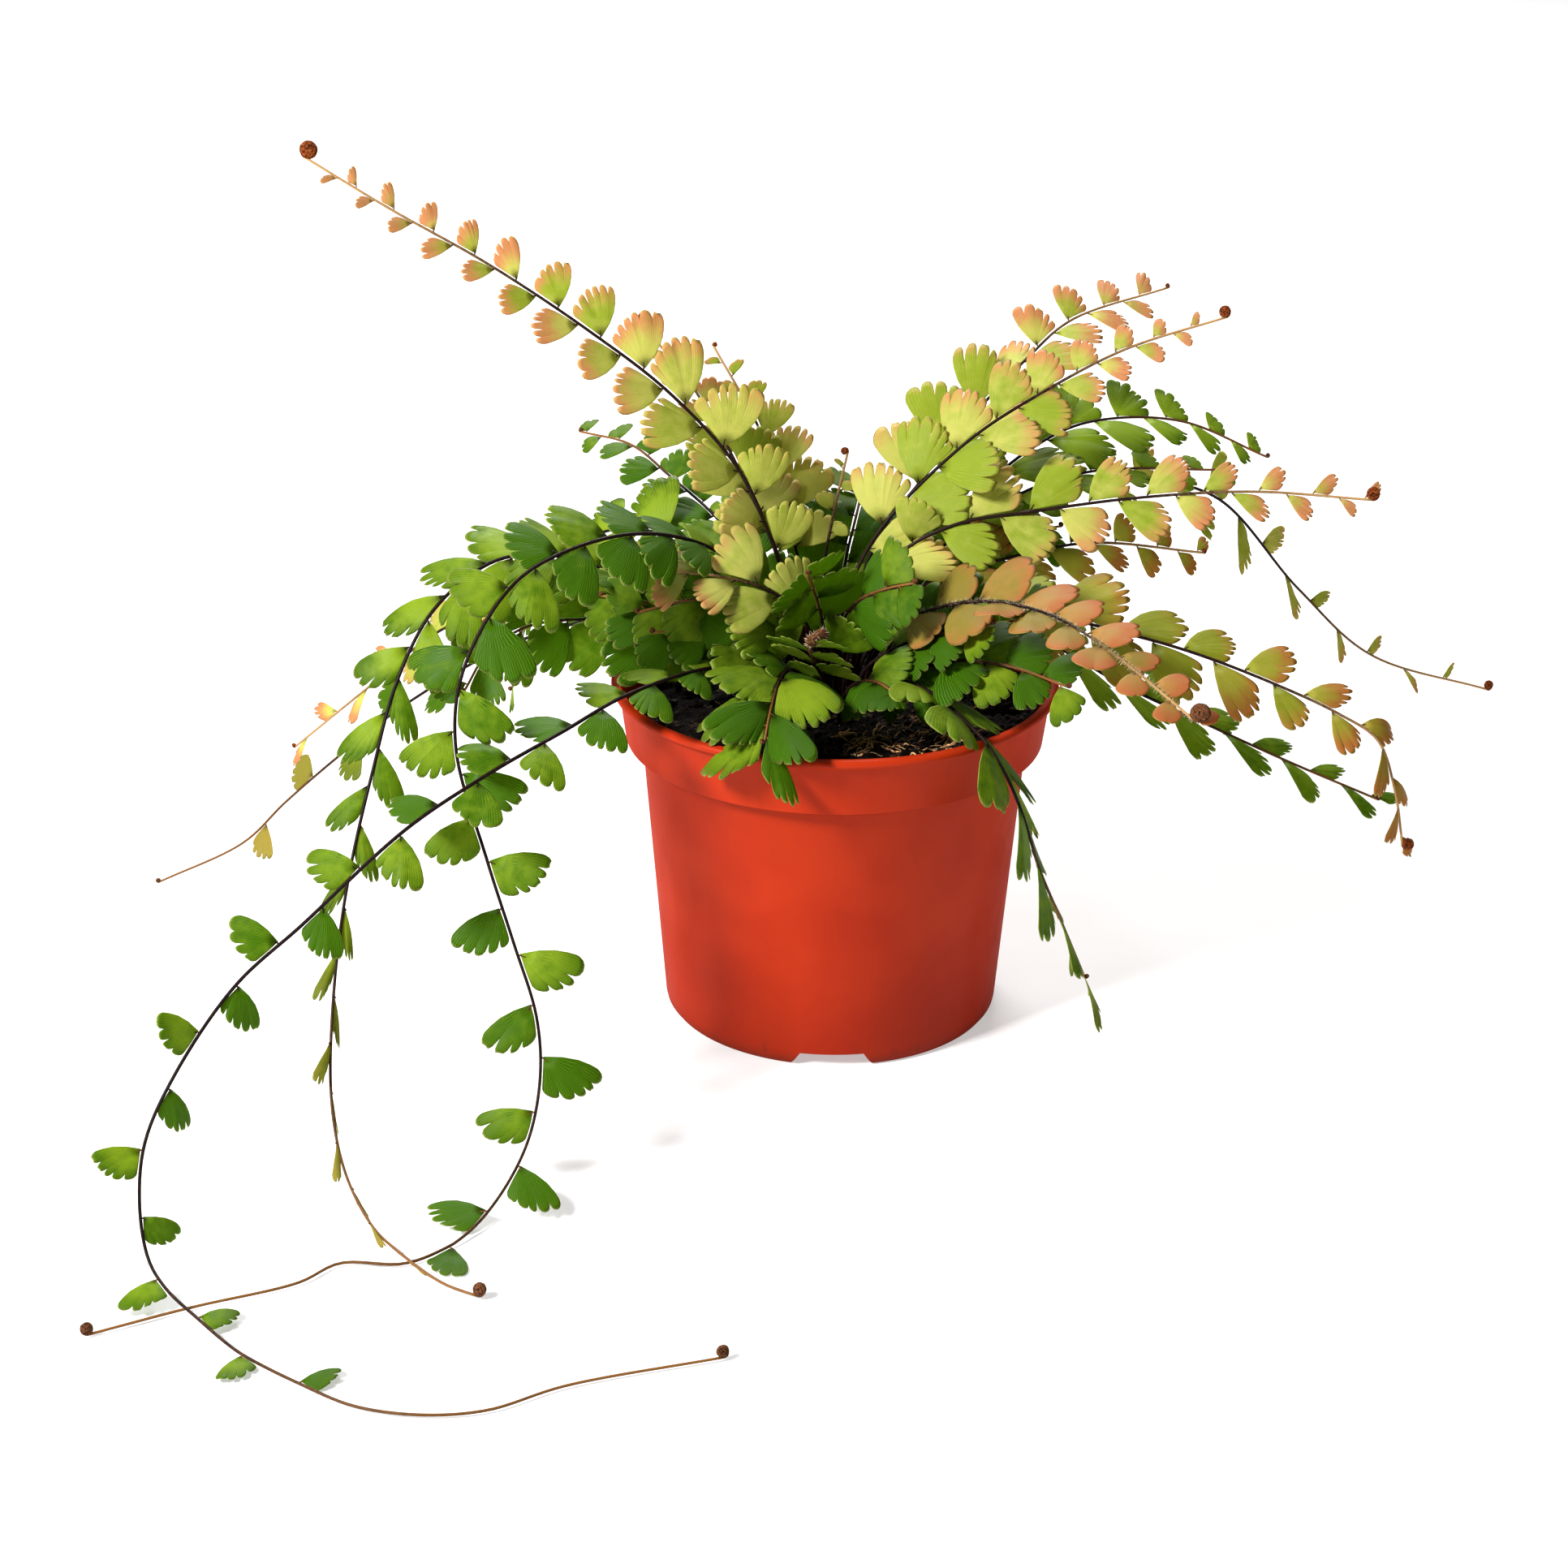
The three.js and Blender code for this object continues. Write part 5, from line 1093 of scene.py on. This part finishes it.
def add_stem_hairs(shells, route, start, per_mm, length, rng):
    """Fine hairs that stand out all round a stretch of stem."""
    for _ in range(int((route.length - start) * per_mm)):
        s = rng.uniform(start, route.length)
        along, up, side = route.axes(s)
        turn = rng.uniform(0, 2 * math.pi)
        way = up * math.cos(turn) + side * math.sin(turn) + along * rng.uniform(*STEM_HAIR_LEAN)
        root = route.point(s) + unit(way) * STEM_TIP_RADIUS * STEM_HAIR_SUNK
        own_length = length * rng.uniform(*STEM_HAIR_LENGTHS)
        shells.add(*spike_shell(root, way, own_length, STEM_HAIR_RADIUS), PALE_SLOT)


# The colours and the shine of each age's leaf material.
LEAF_LOOKS = {
    "young": dict(heart=srgb(142, 164, 42), heart_other=srgb(200, 200, 102), edge=srgb(206, 130, 94),
                  edge_from=0.84, edge_with_age=0.6, late=srgb(198, 132, 98), glow=srgb(216, 208, 92),
                  shine=0.44),
    "mature": dict(heart=srgb(44, 88, 8), heart_other=srgb(134, 156, 34), edge=srgb(58, 90, 5),
                   edge_from=0.84, edge_with_age=0.5, late=srgb(176, 138, 70), glow=srgb(182, 216, 30),
                   shine=0.42),
    "olive": dict(heart=srgb(132, 146, 34), heart_other=srgb(162, 162, 58), edge=srgb(174, 104, 54),
                  edge_from=0.8, edge_with_age=0.4, late=srgb(178, 104, 52), glow=srgb(206, 190, 72),
                  shine=0.42),
    "red": dict(heart=srgb(140, 128, 50), heart_other=srgb(178, 138, 74), edge=srgb(180, 108, 62),
                edge_from=0.56, edge_with_age=0.2, late=srgb(188, 112, 62), glow=srgb(212, 150, 80),
                shine=0.46),
}


def make_fronds():
    """Each frond of the frame with its fine leaflets, stem, coiled tip and hairs."""
    leaves = {age: leaf_material(f"leaf_{age}", **look) for age, look in LEAF_LOOKS.items()}
    dark_stem = stem_material("stem_dark", srgb(24, 12, 10), srgb(126, 84, 40), 0.62)
    young_stem = stem_material("stem_young", srgb(30, 14, 10), srgb(176, 136, 86), 0.66)
    brown_wool = wool_material("wool_brown", srgb(34, 11, 4), srgb(144, 70, 28))
    dark_wool = wool_material("wool_dark", srgb(38, 22, 14), srgb(110, 68, 40))
    pale_hair = wool_material("hair_pale", srgb(214, 190, 150), srgb(240, 226, 196))
    # Without a seed the lumps would differ from run to run.
    noise.seed_set(LUMP_SEED)
    for seed, (name, own) in enumerate(FRONDS.items(), start=1):
        frond = dict(USUAL, **own)
        rng = random.Random(seed)
        route = Route(frond)
        shells = Shells(*CHANNELS)
        age = frond["age"]
        kind = "broad" if name.startswith(BROAD_FRONDS) and age == "mature" else age
        form = {**PLAIN_FORM, **LEAF_FORMS[kind], **OWN_FORMS.get(name, {})}
        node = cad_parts[f"frond_{name}"]
        for leaf in fitted_leaflets(frond, route, leaflet_plan(frond, route, seed), node):
            points, faces, values = leaf_shell(route, leaf, form, rng)
            shells.add(points, faces, LEAF_SLOT, **values)
            add_petiole(shells, route, leaf)
        add_stem(shells, route)
        hair_slot = PALE_SLOT if name in PALE_COILS else WOOL_SLOT
        add_coil(shells, route, COIL_SIZES.get(name, OTHER_COIL), hair_slot, rng)
        if age == "red":
            add_stem_hairs(shells, route, RED_HAIRS_FROM, *RED_HAIRS, rng)
        elif age == "young":
            add_stem_hairs(shells, route, YOUNG_HAIRS_FROM * route.length, *YOUNG_HAIRS, rng)
        stem = dark_stem if age == "mature" else young_stem
        wool = dark_wool if age in ("mature", "red") else brown_wool
        piece = shells.build(f"fern_{name}", [leaves[age], stem, wool, pale_hair])
        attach(piece, "root")
        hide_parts(f"frond_{name}")


# The pot.

def arc(centre, radius, start, stop, steps):
    """Points on an arc, with angles in degrees from the horizontal."""
    turns = np.radians(np.linspace(start, stop, steps))
    return [(centre[0] + radius * math.cos(t), centre[1] + radius * math.sin(t)) for t in turns]


def turned_mesh(name, outline):
    """A closed solid turned round the pot's axis from an outline that starts and ends on it."""
    points = [(0, 0, outline[0][1]), (0, 0, outline[-1][1])]
    rings = outline[1:-1]
    for radius, z in rings:
        points += [(x, y, z) for x, y in circle(radius, POT_SIDES)]
    faces = walls(len(rings), POT_SIDES, 2)
    last = 2 + (len(rings) - 1) * POT_SIDES
    for i in range(POT_SIDES):
        j = (i + 1) % POT_SIDES
        faces += [(0, 2 + j, 2 + i), (1, last + i, last + j)]
    shells = Shells()
    shells.add(points, faces)
    return shells.build(name, [])


def outer_outline():
    """The pot's outside from the axis at the foot to the axis at the lip, with round edges."""
    return [
        (0, 0), (FOOT_RADIUS - 1, 0), (FOOT_RADIUS, 0.25), (BODY_FOOT_RADIUS - 0.15, 1.5),
        (BODY_FOOT_RADIUS + 0.1, 2.6), (BODY_TOP_RADIUS, BAND_FOOT - 1.2),
        (BODY_TOP_RADIUS + 0.5, BAND_FOOT - 0.5), (BAND_RADIUS - 0.9, BAND_FOOT - 0.3),
        *arc((BAND_RADIUS - BAND_ROUND, BAND_FOOT + 0.35), BAND_ROUND, -70, 0, 5),
        (LIP_RADIUS - 2.1, POT_HEIGHT - 3), (LIP_RADIUS - 1.6, POT_HEIGHT - 2.4),
        *arc((LIP_RADIUS - LIP_ROUND, POT_HEIGHT - LIP_ROUND), LIP_ROUND, -60, 90, 9),
        (LIP_RADIUS - 2, POT_HEIGHT), (0, POT_HEIGHT),
    ]


def inner_outline():
    """The space inside the pot's wall, open above the lip."""
    return [
        (0, FLOOR), (FOOT_RADIUS - WALL, FLOOR), (BODY_FOOT_RADIUS - WALL, 2.8),
        (BODY_TOP_RADIUS - WALL, BAND_FOOT + 0.4), (BAND_RADIUS - WALL, BAND_FOOT + 1.8),
        (LIP_RADIUS - 3.2, POT_HEIGHT - 1.6), (LIP_RADIUS - 2.9, POT_HEIGHT - 0.6),
        (LIP_RADIUS - 2.2, POT_HEIGHT), (LIP_RADIUS - 2.2, POT_HEIGHT + 2), (0, POT_HEIGHT + 2),
    ]


def notch_blocks(name, grow, bottom, top, inner, outer):
    """Wedges with trapezoid ends, one lying along the radius of each notch."""
    slope = (NOTCH_WIDE - NOTCH_NARROW) / 2 / NOTCH_HEIGHT
    shells = Shells()
    for i in range(NOTCHES):
        turn = Matrix.Rotation(i * 2 * math.pi / NOTCHES, 3, "Z")
        corners = []
        for y in (-outer, -inner):
            for z in (bottom, top):
                half = NOTCH_WIDE / 2 - slope * z + grow
                corners += [turn @ Vector((-half, y, z)), turn @ Vector((half, y, z))]
        faces = [(0, 1, 3, 2), (5, 4, 6, 7), (1, 5, 7, 3), (4, 0, 2, 6), (2, 3, 7, 6), (4, 5, 1, 0)]
        shells.add([tuple(c) for c in corners], faces)
    return shells.build(name, [])


def drain_holes(name):
    """The round holes in the roofs of the pockets."""
    shells = Shells()
    for i in range(NOTCHES):
        angle = i * 2 * math.pi / NOTCHES - math.pi / 2
        reach = POCKET_INNER + DRAIN_RADIUS + DRAIN_INSET
        centre = np.array([reach * math.cos(angle), reach * math.sin(angle), 0])
        ends = [centre + (0, 0, z) for z in (NOTCH_HEIGHT - 1, NOTCH_HEIGHT + 3)]
        shells.add(*tube_shell(ends, DRAIN_RADIUS, DRAIN_SIDES))
    return shells.build(name, [])


def combine(piece, operation, tool):
    """Joins piece with tool, or cuts it by tool, for good, and removes the tool."""
    modifier = piece.modifiers.new(operation, "BOOLEAN")
    modifier.operation = operation
    modifier.object = tool
    modifier.solver = "EXACT"
    done = bpy.data.meshes.new_from_object(piece.evaluated_get(bpy.context.evaluated_depsgraph_get()))
    piece.modifiers.clear()
    piece.data = done
    bpy.data.objects.remove(tool)


def clean_and_shade(piece, degrees):
    """Merges points that the cuts doubled, removes faces without area, and shades smoothly with
    the edges that turn by more than the angle kept sharp."""
    mesh = bmesh.new()
    mesh.from_mesh(piece.data)
    bmesh.ops.remove_doubles(mesh, verts=mesh.verts, dist=SAME_POINT * MM)
    bmesh.ops.dissolve_degenerate(mesh, edges=mesh.edges, dist=SAME_POINT * MM)
    bmesh.ops.triangulate(mesh, faces=[face for face in mesh.faces if len(face.verts) > 4])
    for edge in mesh.edges:
        sharp = len(edge.link_faces) == 2 and edge.calc_face_angle(0) > math.radians(degrees)
        edge.smooth = not sharp
    for face in mesh.faces:
        face.smooth = True
    mesh.to_mesh(piece.data)
    mesh.free()


def make_pot():
    """The pot: a thin shell with a band, a rolled lip and three notches in its foot."""
    pot = turned_mesh("plastic_pot", outer_outline())
    combine(pot, "DIFFERENCE", turned_mesh("inside", inner_outline()))
    covers = notch_blocks("covers", WALL, 0.01, NOTCH_HEIGHT + WALL, POCKET_INNER - WALL, LIP_RADIUS)
    combine(covers, "INTERSECT", turned_mesh("whole", outer_outline()))
    combine(pot, "UNION", covers)
    combine(pot, "DIFFERENCE", notch_blocks("pockets", 0, -1, NOTCH_HEIGHT, POCKET_INNER, LIP_RADIUS))
    combine(pot, "DIFFERENCE", drain_holes("drains"))
    clean_and_shade(pot, SHARP_FROM)
    pot.data.materials.clear()
    pot.data.materials.append(pot_material())
    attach(pot, "root")
    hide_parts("pot")


# The soil.

SOIL_SEED = 77
SOIL_RINGS = 84
SOIL_SIDES = 180
SOIL_CLEAR = 0.45
CLOD_SIZE = 6.5
CLOD_HEIGHT = 0.9
CRUST_SIZE = 1.9
CRUST_HEIGHT = 0.35

# Crumbs: their smallest size and how much more they may have, how far they are stretched each
# way, how uneven they are, and which are bark or white grit.
CRUMBS = 1500
CRUMBS_INSET = 1.5
CRUMB_SUBDIVISIONS = 1
CRUMB_SIZE = (0.35, 1.1)
CRUMB_STRETCH = ((0.7, 1.6), (0.6, 1.1), (0.4, 0.8))
CRUMB_JITTER = (0.75, 1.25)
CRUMB_RISE = 0.2
GRIT_EVERY = 75
PEAT_EVERY = 3

# Straws: their smallest length and radius and how much more they may have, how they taper, and
# the middle and breadth of the heap that most of them lie in.
STRAWS = 230
STRAWS_INSET = 7
STRAW_LENGTH = (2, 7)
STRAW_RADIUS = (0.07, 0.25)
STRAW_CURL = 0.8
STRAW_LIFT = 0.8
STRAW_RISE = 0.25
STRAW_TAPER = (0.5, 0.9, 1, 1, 1, 0.9, 0.4)
STRAW_SIDES = 5
STRAWS_SPREAD_EVERY = 4
HEAP_INSET = 6
HEAP_X, HEAP_Y = 24, -31
HEAP_BREADTH_X, HEAP_BREADTH_Y = 0.5, 0.38

# The one long fibre: its foot, the handle of its bend and its top.
LONG_FIBRE = np.array([[15.7, -22.7, 85.5], [20, -25, 97], [27.7, -26, 106]])
FIBRE_RADIUS = 0.1
FIBRE_STEPS = 9

# The material slots of the soil.
PEAT_SLOT, BARK_SLOT, STRAW_SLOT, GRIT_SLOT = range(4)


def soil_height(x, y):
    """The frame's soil surface."""
    heap = SOIL_SLOPE[0] * x + SOIL_SLOPE[1] * y
    waves = math.sin(LUMP_WAVES[0] * x + LUMP_SHIFT) * math.cos(LUMP_WAVES[1] * y)
    waves += CROSSED_SHARE * math.sin(CROSSED_WAVES * x * y)
    calm = min(math.hypot(x, y - CROWN_Y) / CROWN_RADIUS, 1)
    return SOIL_LEVEL + calm * (heap + LUMP_HEIGHT * waves)


def rough_soil_height(x, y):
    """The same surface with clods and small lumps on it."""
    clods = noise.fractal(Vector((x, y, 3)) / CLOD_SIZE, 0.7, 2.2, 4)
    lumps = noise.fractal(Vector((x, y, 9)) / CRUST_SIZE, 0.8, 2.3, 3)
    return soil_height(x, y) + CLOD_HEIGHT * clods + CRUST_HEIGHT * lumps


def soil_body(shells):
    """The body of the mix: a rough top over the pot's inner shape."""
    places = [(0, 0)]
    for k in range(SOIL_RINGS):
        places += circle(SOIL_EDGE * (k + 1) / SOIL_RINGS, SOIL_SIDES)
    points = [(x, y, rough_soil_height(x, y)) for x, y in places]
    clear = WALL + SOIL_CLEAR
    lower = [(BAND_RADIUS - clear - 0.4, BAND_FOOT + 3), (BODY_TOP_RADIUS - clear - 0.2, BAND_FOOT + 0.8),
             (BODY_FOOT_RADIUS - clear, SOIL_BOTTOM)]
    for radius, z in lower:
        points += [(x, y, z) for x, y in circle(radius, SOIL_SIDES)]
    faces = [(0, 1 + i, 1 + (i + 1) % SOIL_SIDES) for i in range(SOIL_SIDES)]
    faces += [(a, d, c, b) for a, b, c, d in walls(SOIL_RINGS + len(lower), SOIL_SIDES, 1)]
    faces.append(tuple(reversed(range(len(points) - SOIL_SIDES, len(points)))))
    shells.add(points, faces, PEAT_SLOT)


def crumb_form():
    """The points and faces of a regular solid with twenty sides."""
    mesh = bmesh.new()
    bmesh.ops.create_icosphere(mesh, subdivisions=CRUMB_SUBDIVISIONS, radius=1)
    points = np.array([v.co for v in mesh.verts])
    faces = [tuple(v.index for v in face.verts) for face in mesh.faces]
    mesh.free()
    return points, faces


def spot_on_soil(rng, reach):
    """A random spot on the soil inside that radius."""
    radius = reach * math.sqrt(rng.random())
    turn = rng.uniform(0, 2 * math.pi)
    return radius * math.cos(turn), radius * math.sin(turn)


def add_crumbs(shells, rng):
    """Crumbs of peat and bark with a few white grains, half sunk in the soil."""
    form, faces = crumb_form()
    for i in range(CRUMBS):
        x, y = spot_on_soil(rng, SOIL_EDGE - CRUMBS_INSET)
        size = CRUMB_SIZE[0] + CRUMB_SIZE[1] * rng.random() ** 3
        stretch = np.array([rng.uniform(*span) for span in CRUMB_STRETCH])
        turn = np.array(Matrix.Rotation(rng.uniform(0, 6.3), 3, "Z"))
        jitter = np.array([rng.uniform(*CRUMB_JITTER) for _ in form])[:, None]
        centre = (x, y, rough_soil_height(x, y) + CRUMB_RISE * size)
        slot = BARK_SLOT if i % PEAT_EVERY else PEAT_SLOT
        if i % GRIT_EVERY == 0:
            slot = GRIT_SLOT
        shells.add((form * jitter * stretch * size) @ turn.T + centre, faces, slot)


def add_straws(shells, rng):
    """Fibres of straw, most of them at the front right."""
    for i in range(STRAWS):
        x, y = spot_on_soil(rng, SOIL_EDGE - STRAWS_INSET)
        if i % STRAWS_SPREAD_EVERY:
            x, y = HEAP_X + HEAP_BREADTH_X * x, HEAP_Y + HEAP_BREADTH_Y * y
        if math.hypot(x, y) > SOIL_EDGE - HEAP_INSET:
            continue
        length = STRAW_LENGTH[0] + STRAW_LENGTH[1] * rng.random() ** 2
        turn = rng.uniform(0, 2 * math.pi)
        curl = rng.uniform(-STRAW_CURL, STRAW_CURL)
        lift = rng.uniform(0, STRAW_LIFT)
        centres = []
        for step in np.linspace(0, 1, len(STRAW_TAPER)):
            heading = turn + curl * step
            px = x + length * (step - 0.5) * math.cos(heading)
            py = y + length * (step - 0.5) * math.sin(heading)
            rise = STRAW_RISE + lift * math.sin(math.pi * step)
            centres.append((px, py, rough_soil_height(px, py) + rise))
        radius = STRAW_RADIUS[0] + STRAW_RADIUS[1] * rng.random() ** 2
        shells.add(*tube_shell(centres, radius * np.array(STRAW_TAPER), STRAW_SIDES), STRAW_SLOT)


def add_long_fibre(shells):
    """The one long pale fibre that stands out of the mix."""
    centres = bezier(*LONG_FIBRE, np.linspace(0, 1, FIBRE_STEPS)[:, None])
    shells.add(*tube_shell(centres, FIBRE_RADIUS, STRAW_SIDES), STRAW_SLOT)


def make_soil():
    """The potting mix with its crumbs, straws and grains."""
    rng = random.Random(SOIL_SEED)
    shells = Shells()
    soil_body(shells)
    add_crumbs(shells, rng)
    add_straws(shells, rng)
    add_long_fibre(shells)
    materials = [
        soil_material(),
        chip_material("bark", srgb(10, 7, 5), srgb(58, 35, 21), 1.4),
        chip_material("straw", srgb(116, 72, 42), srgb(212, 166, 116), 1.1),
        chip_material("grit", srgb(196, 190, 178), srgb(232, 228, 220), 0.8),
    ]
    soil = shells.build("potting_mix_top", materials, smooth=False)
    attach(soil, "root")
    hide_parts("soil")


# The studio.

TABLE_GLOW = 0.46
TABLE_HALF = 6000
WORLD_GLOW = 0.13

# Each light's place and side in metres, and its power.
LIGHTS = {"key": ((-0.95, -0.75, 1.0), 0.35, 46), "back": ((-0.1, 1.2, 1.1), 0.8, 30)}
LIT_PLACE = Vector((0, 0, 0.1))


def add_camera():
    """The camera of the photograph."""
    forward = Vector((0, math.cos(CAMERA_ELEVATION), -math.sin(CAMERA_ELEVATION)))
    right = Vector((1, 0, 0))
    up = right.cross(forward)
    rolled_right = right * math.cos(CAMERA_ROLL) + up * math.sin(CAMERA_ROLL)
    rolled_up = up * math.cos(CAMERA_ROLL) - right * math.sin(CAMERA_ROLL)
    place = (Vector(CAMERA_TARGET) - forward * CAMERA_DISTANCE) * MM
    data = bpy.data.cameras.new("camera")
    data.sensor_width = SENSOR
    data.lens = FOCAL_PIXELS / PHOTO_SIDE * SENSOR
    camera = bpy.data.objects.new("camera", data)
    turn = Matrix((rolled_right, rolled_up, -forward)).transposed()
    camera.matrix_world = Matrix.Translation(place) @ turn.to_4x4()
    bpy.context.scene.collection.objects.link(camera)
    bpy.context.scene.camera = camera


def add_light(name, place, side, power):
    """A square soft light aimed at the middle of the plant."""
    data = bpy.data.lights.new(name, "AREA")
    data.shape = "SQUARE"
    data.size = side
    data.energy = power
    light = bpy.data.objects.new(name, data)
    light.location = place
    light.rotation_euler = (LIT_PLACE - Vector(place)).to_track_quat("-Z", "Y").to_euler()
    bpy.context.scene.collection.objects.link(light)


def add_studio():
    """A plain pale table, lit from inside as well, under soft white light."""
    shells = Shells()
    corners = [(-1, -1, 0), (1, -1, 0), (1, 1, 0), (-1, 1, 0)]
    shells.add(TABLE_HALF * np.array(corners), [(0, 1, 2, 3)])
    s = Shader("floor")
    paper = s.noise(60, 2, 0.5)
    body = s.mix(s.span(paper, 0.3, 0.7), (0.62, 0.62, 0.62, 1), (0.6, 0.6, 0.6, 1))
    surface = s.add("BsdfPrincipled", {
        "Base Color": body, "Roughness": 0.9, "Specular IOR Level": 0.1,
        "Emission Color": (1, 1, 1, 1), "Emission Strength": TABLE_GLOW,
    })
    floor = shells.build("floor", [s.finish(surface.outputs["BSDF"])])
    world = bpy.data.worlds.new("studio")
    world.use_nodes = True
    background = world.node_tree.nodes["Background"]
    background.inputs["Color"].default_value = (1, 1, 1, 1)
    background.inputs["Strength"].default_value = WORLD_GLOW
    bpy.context.scene.world = world
    for name, light in LIGHTS.items():
        add_light(name, *light)
    bpy.context.scene.view_settings.view_transform = "Standard"


add_camera()
add_studio()
make_pot()
make_soil()
make_fronds()
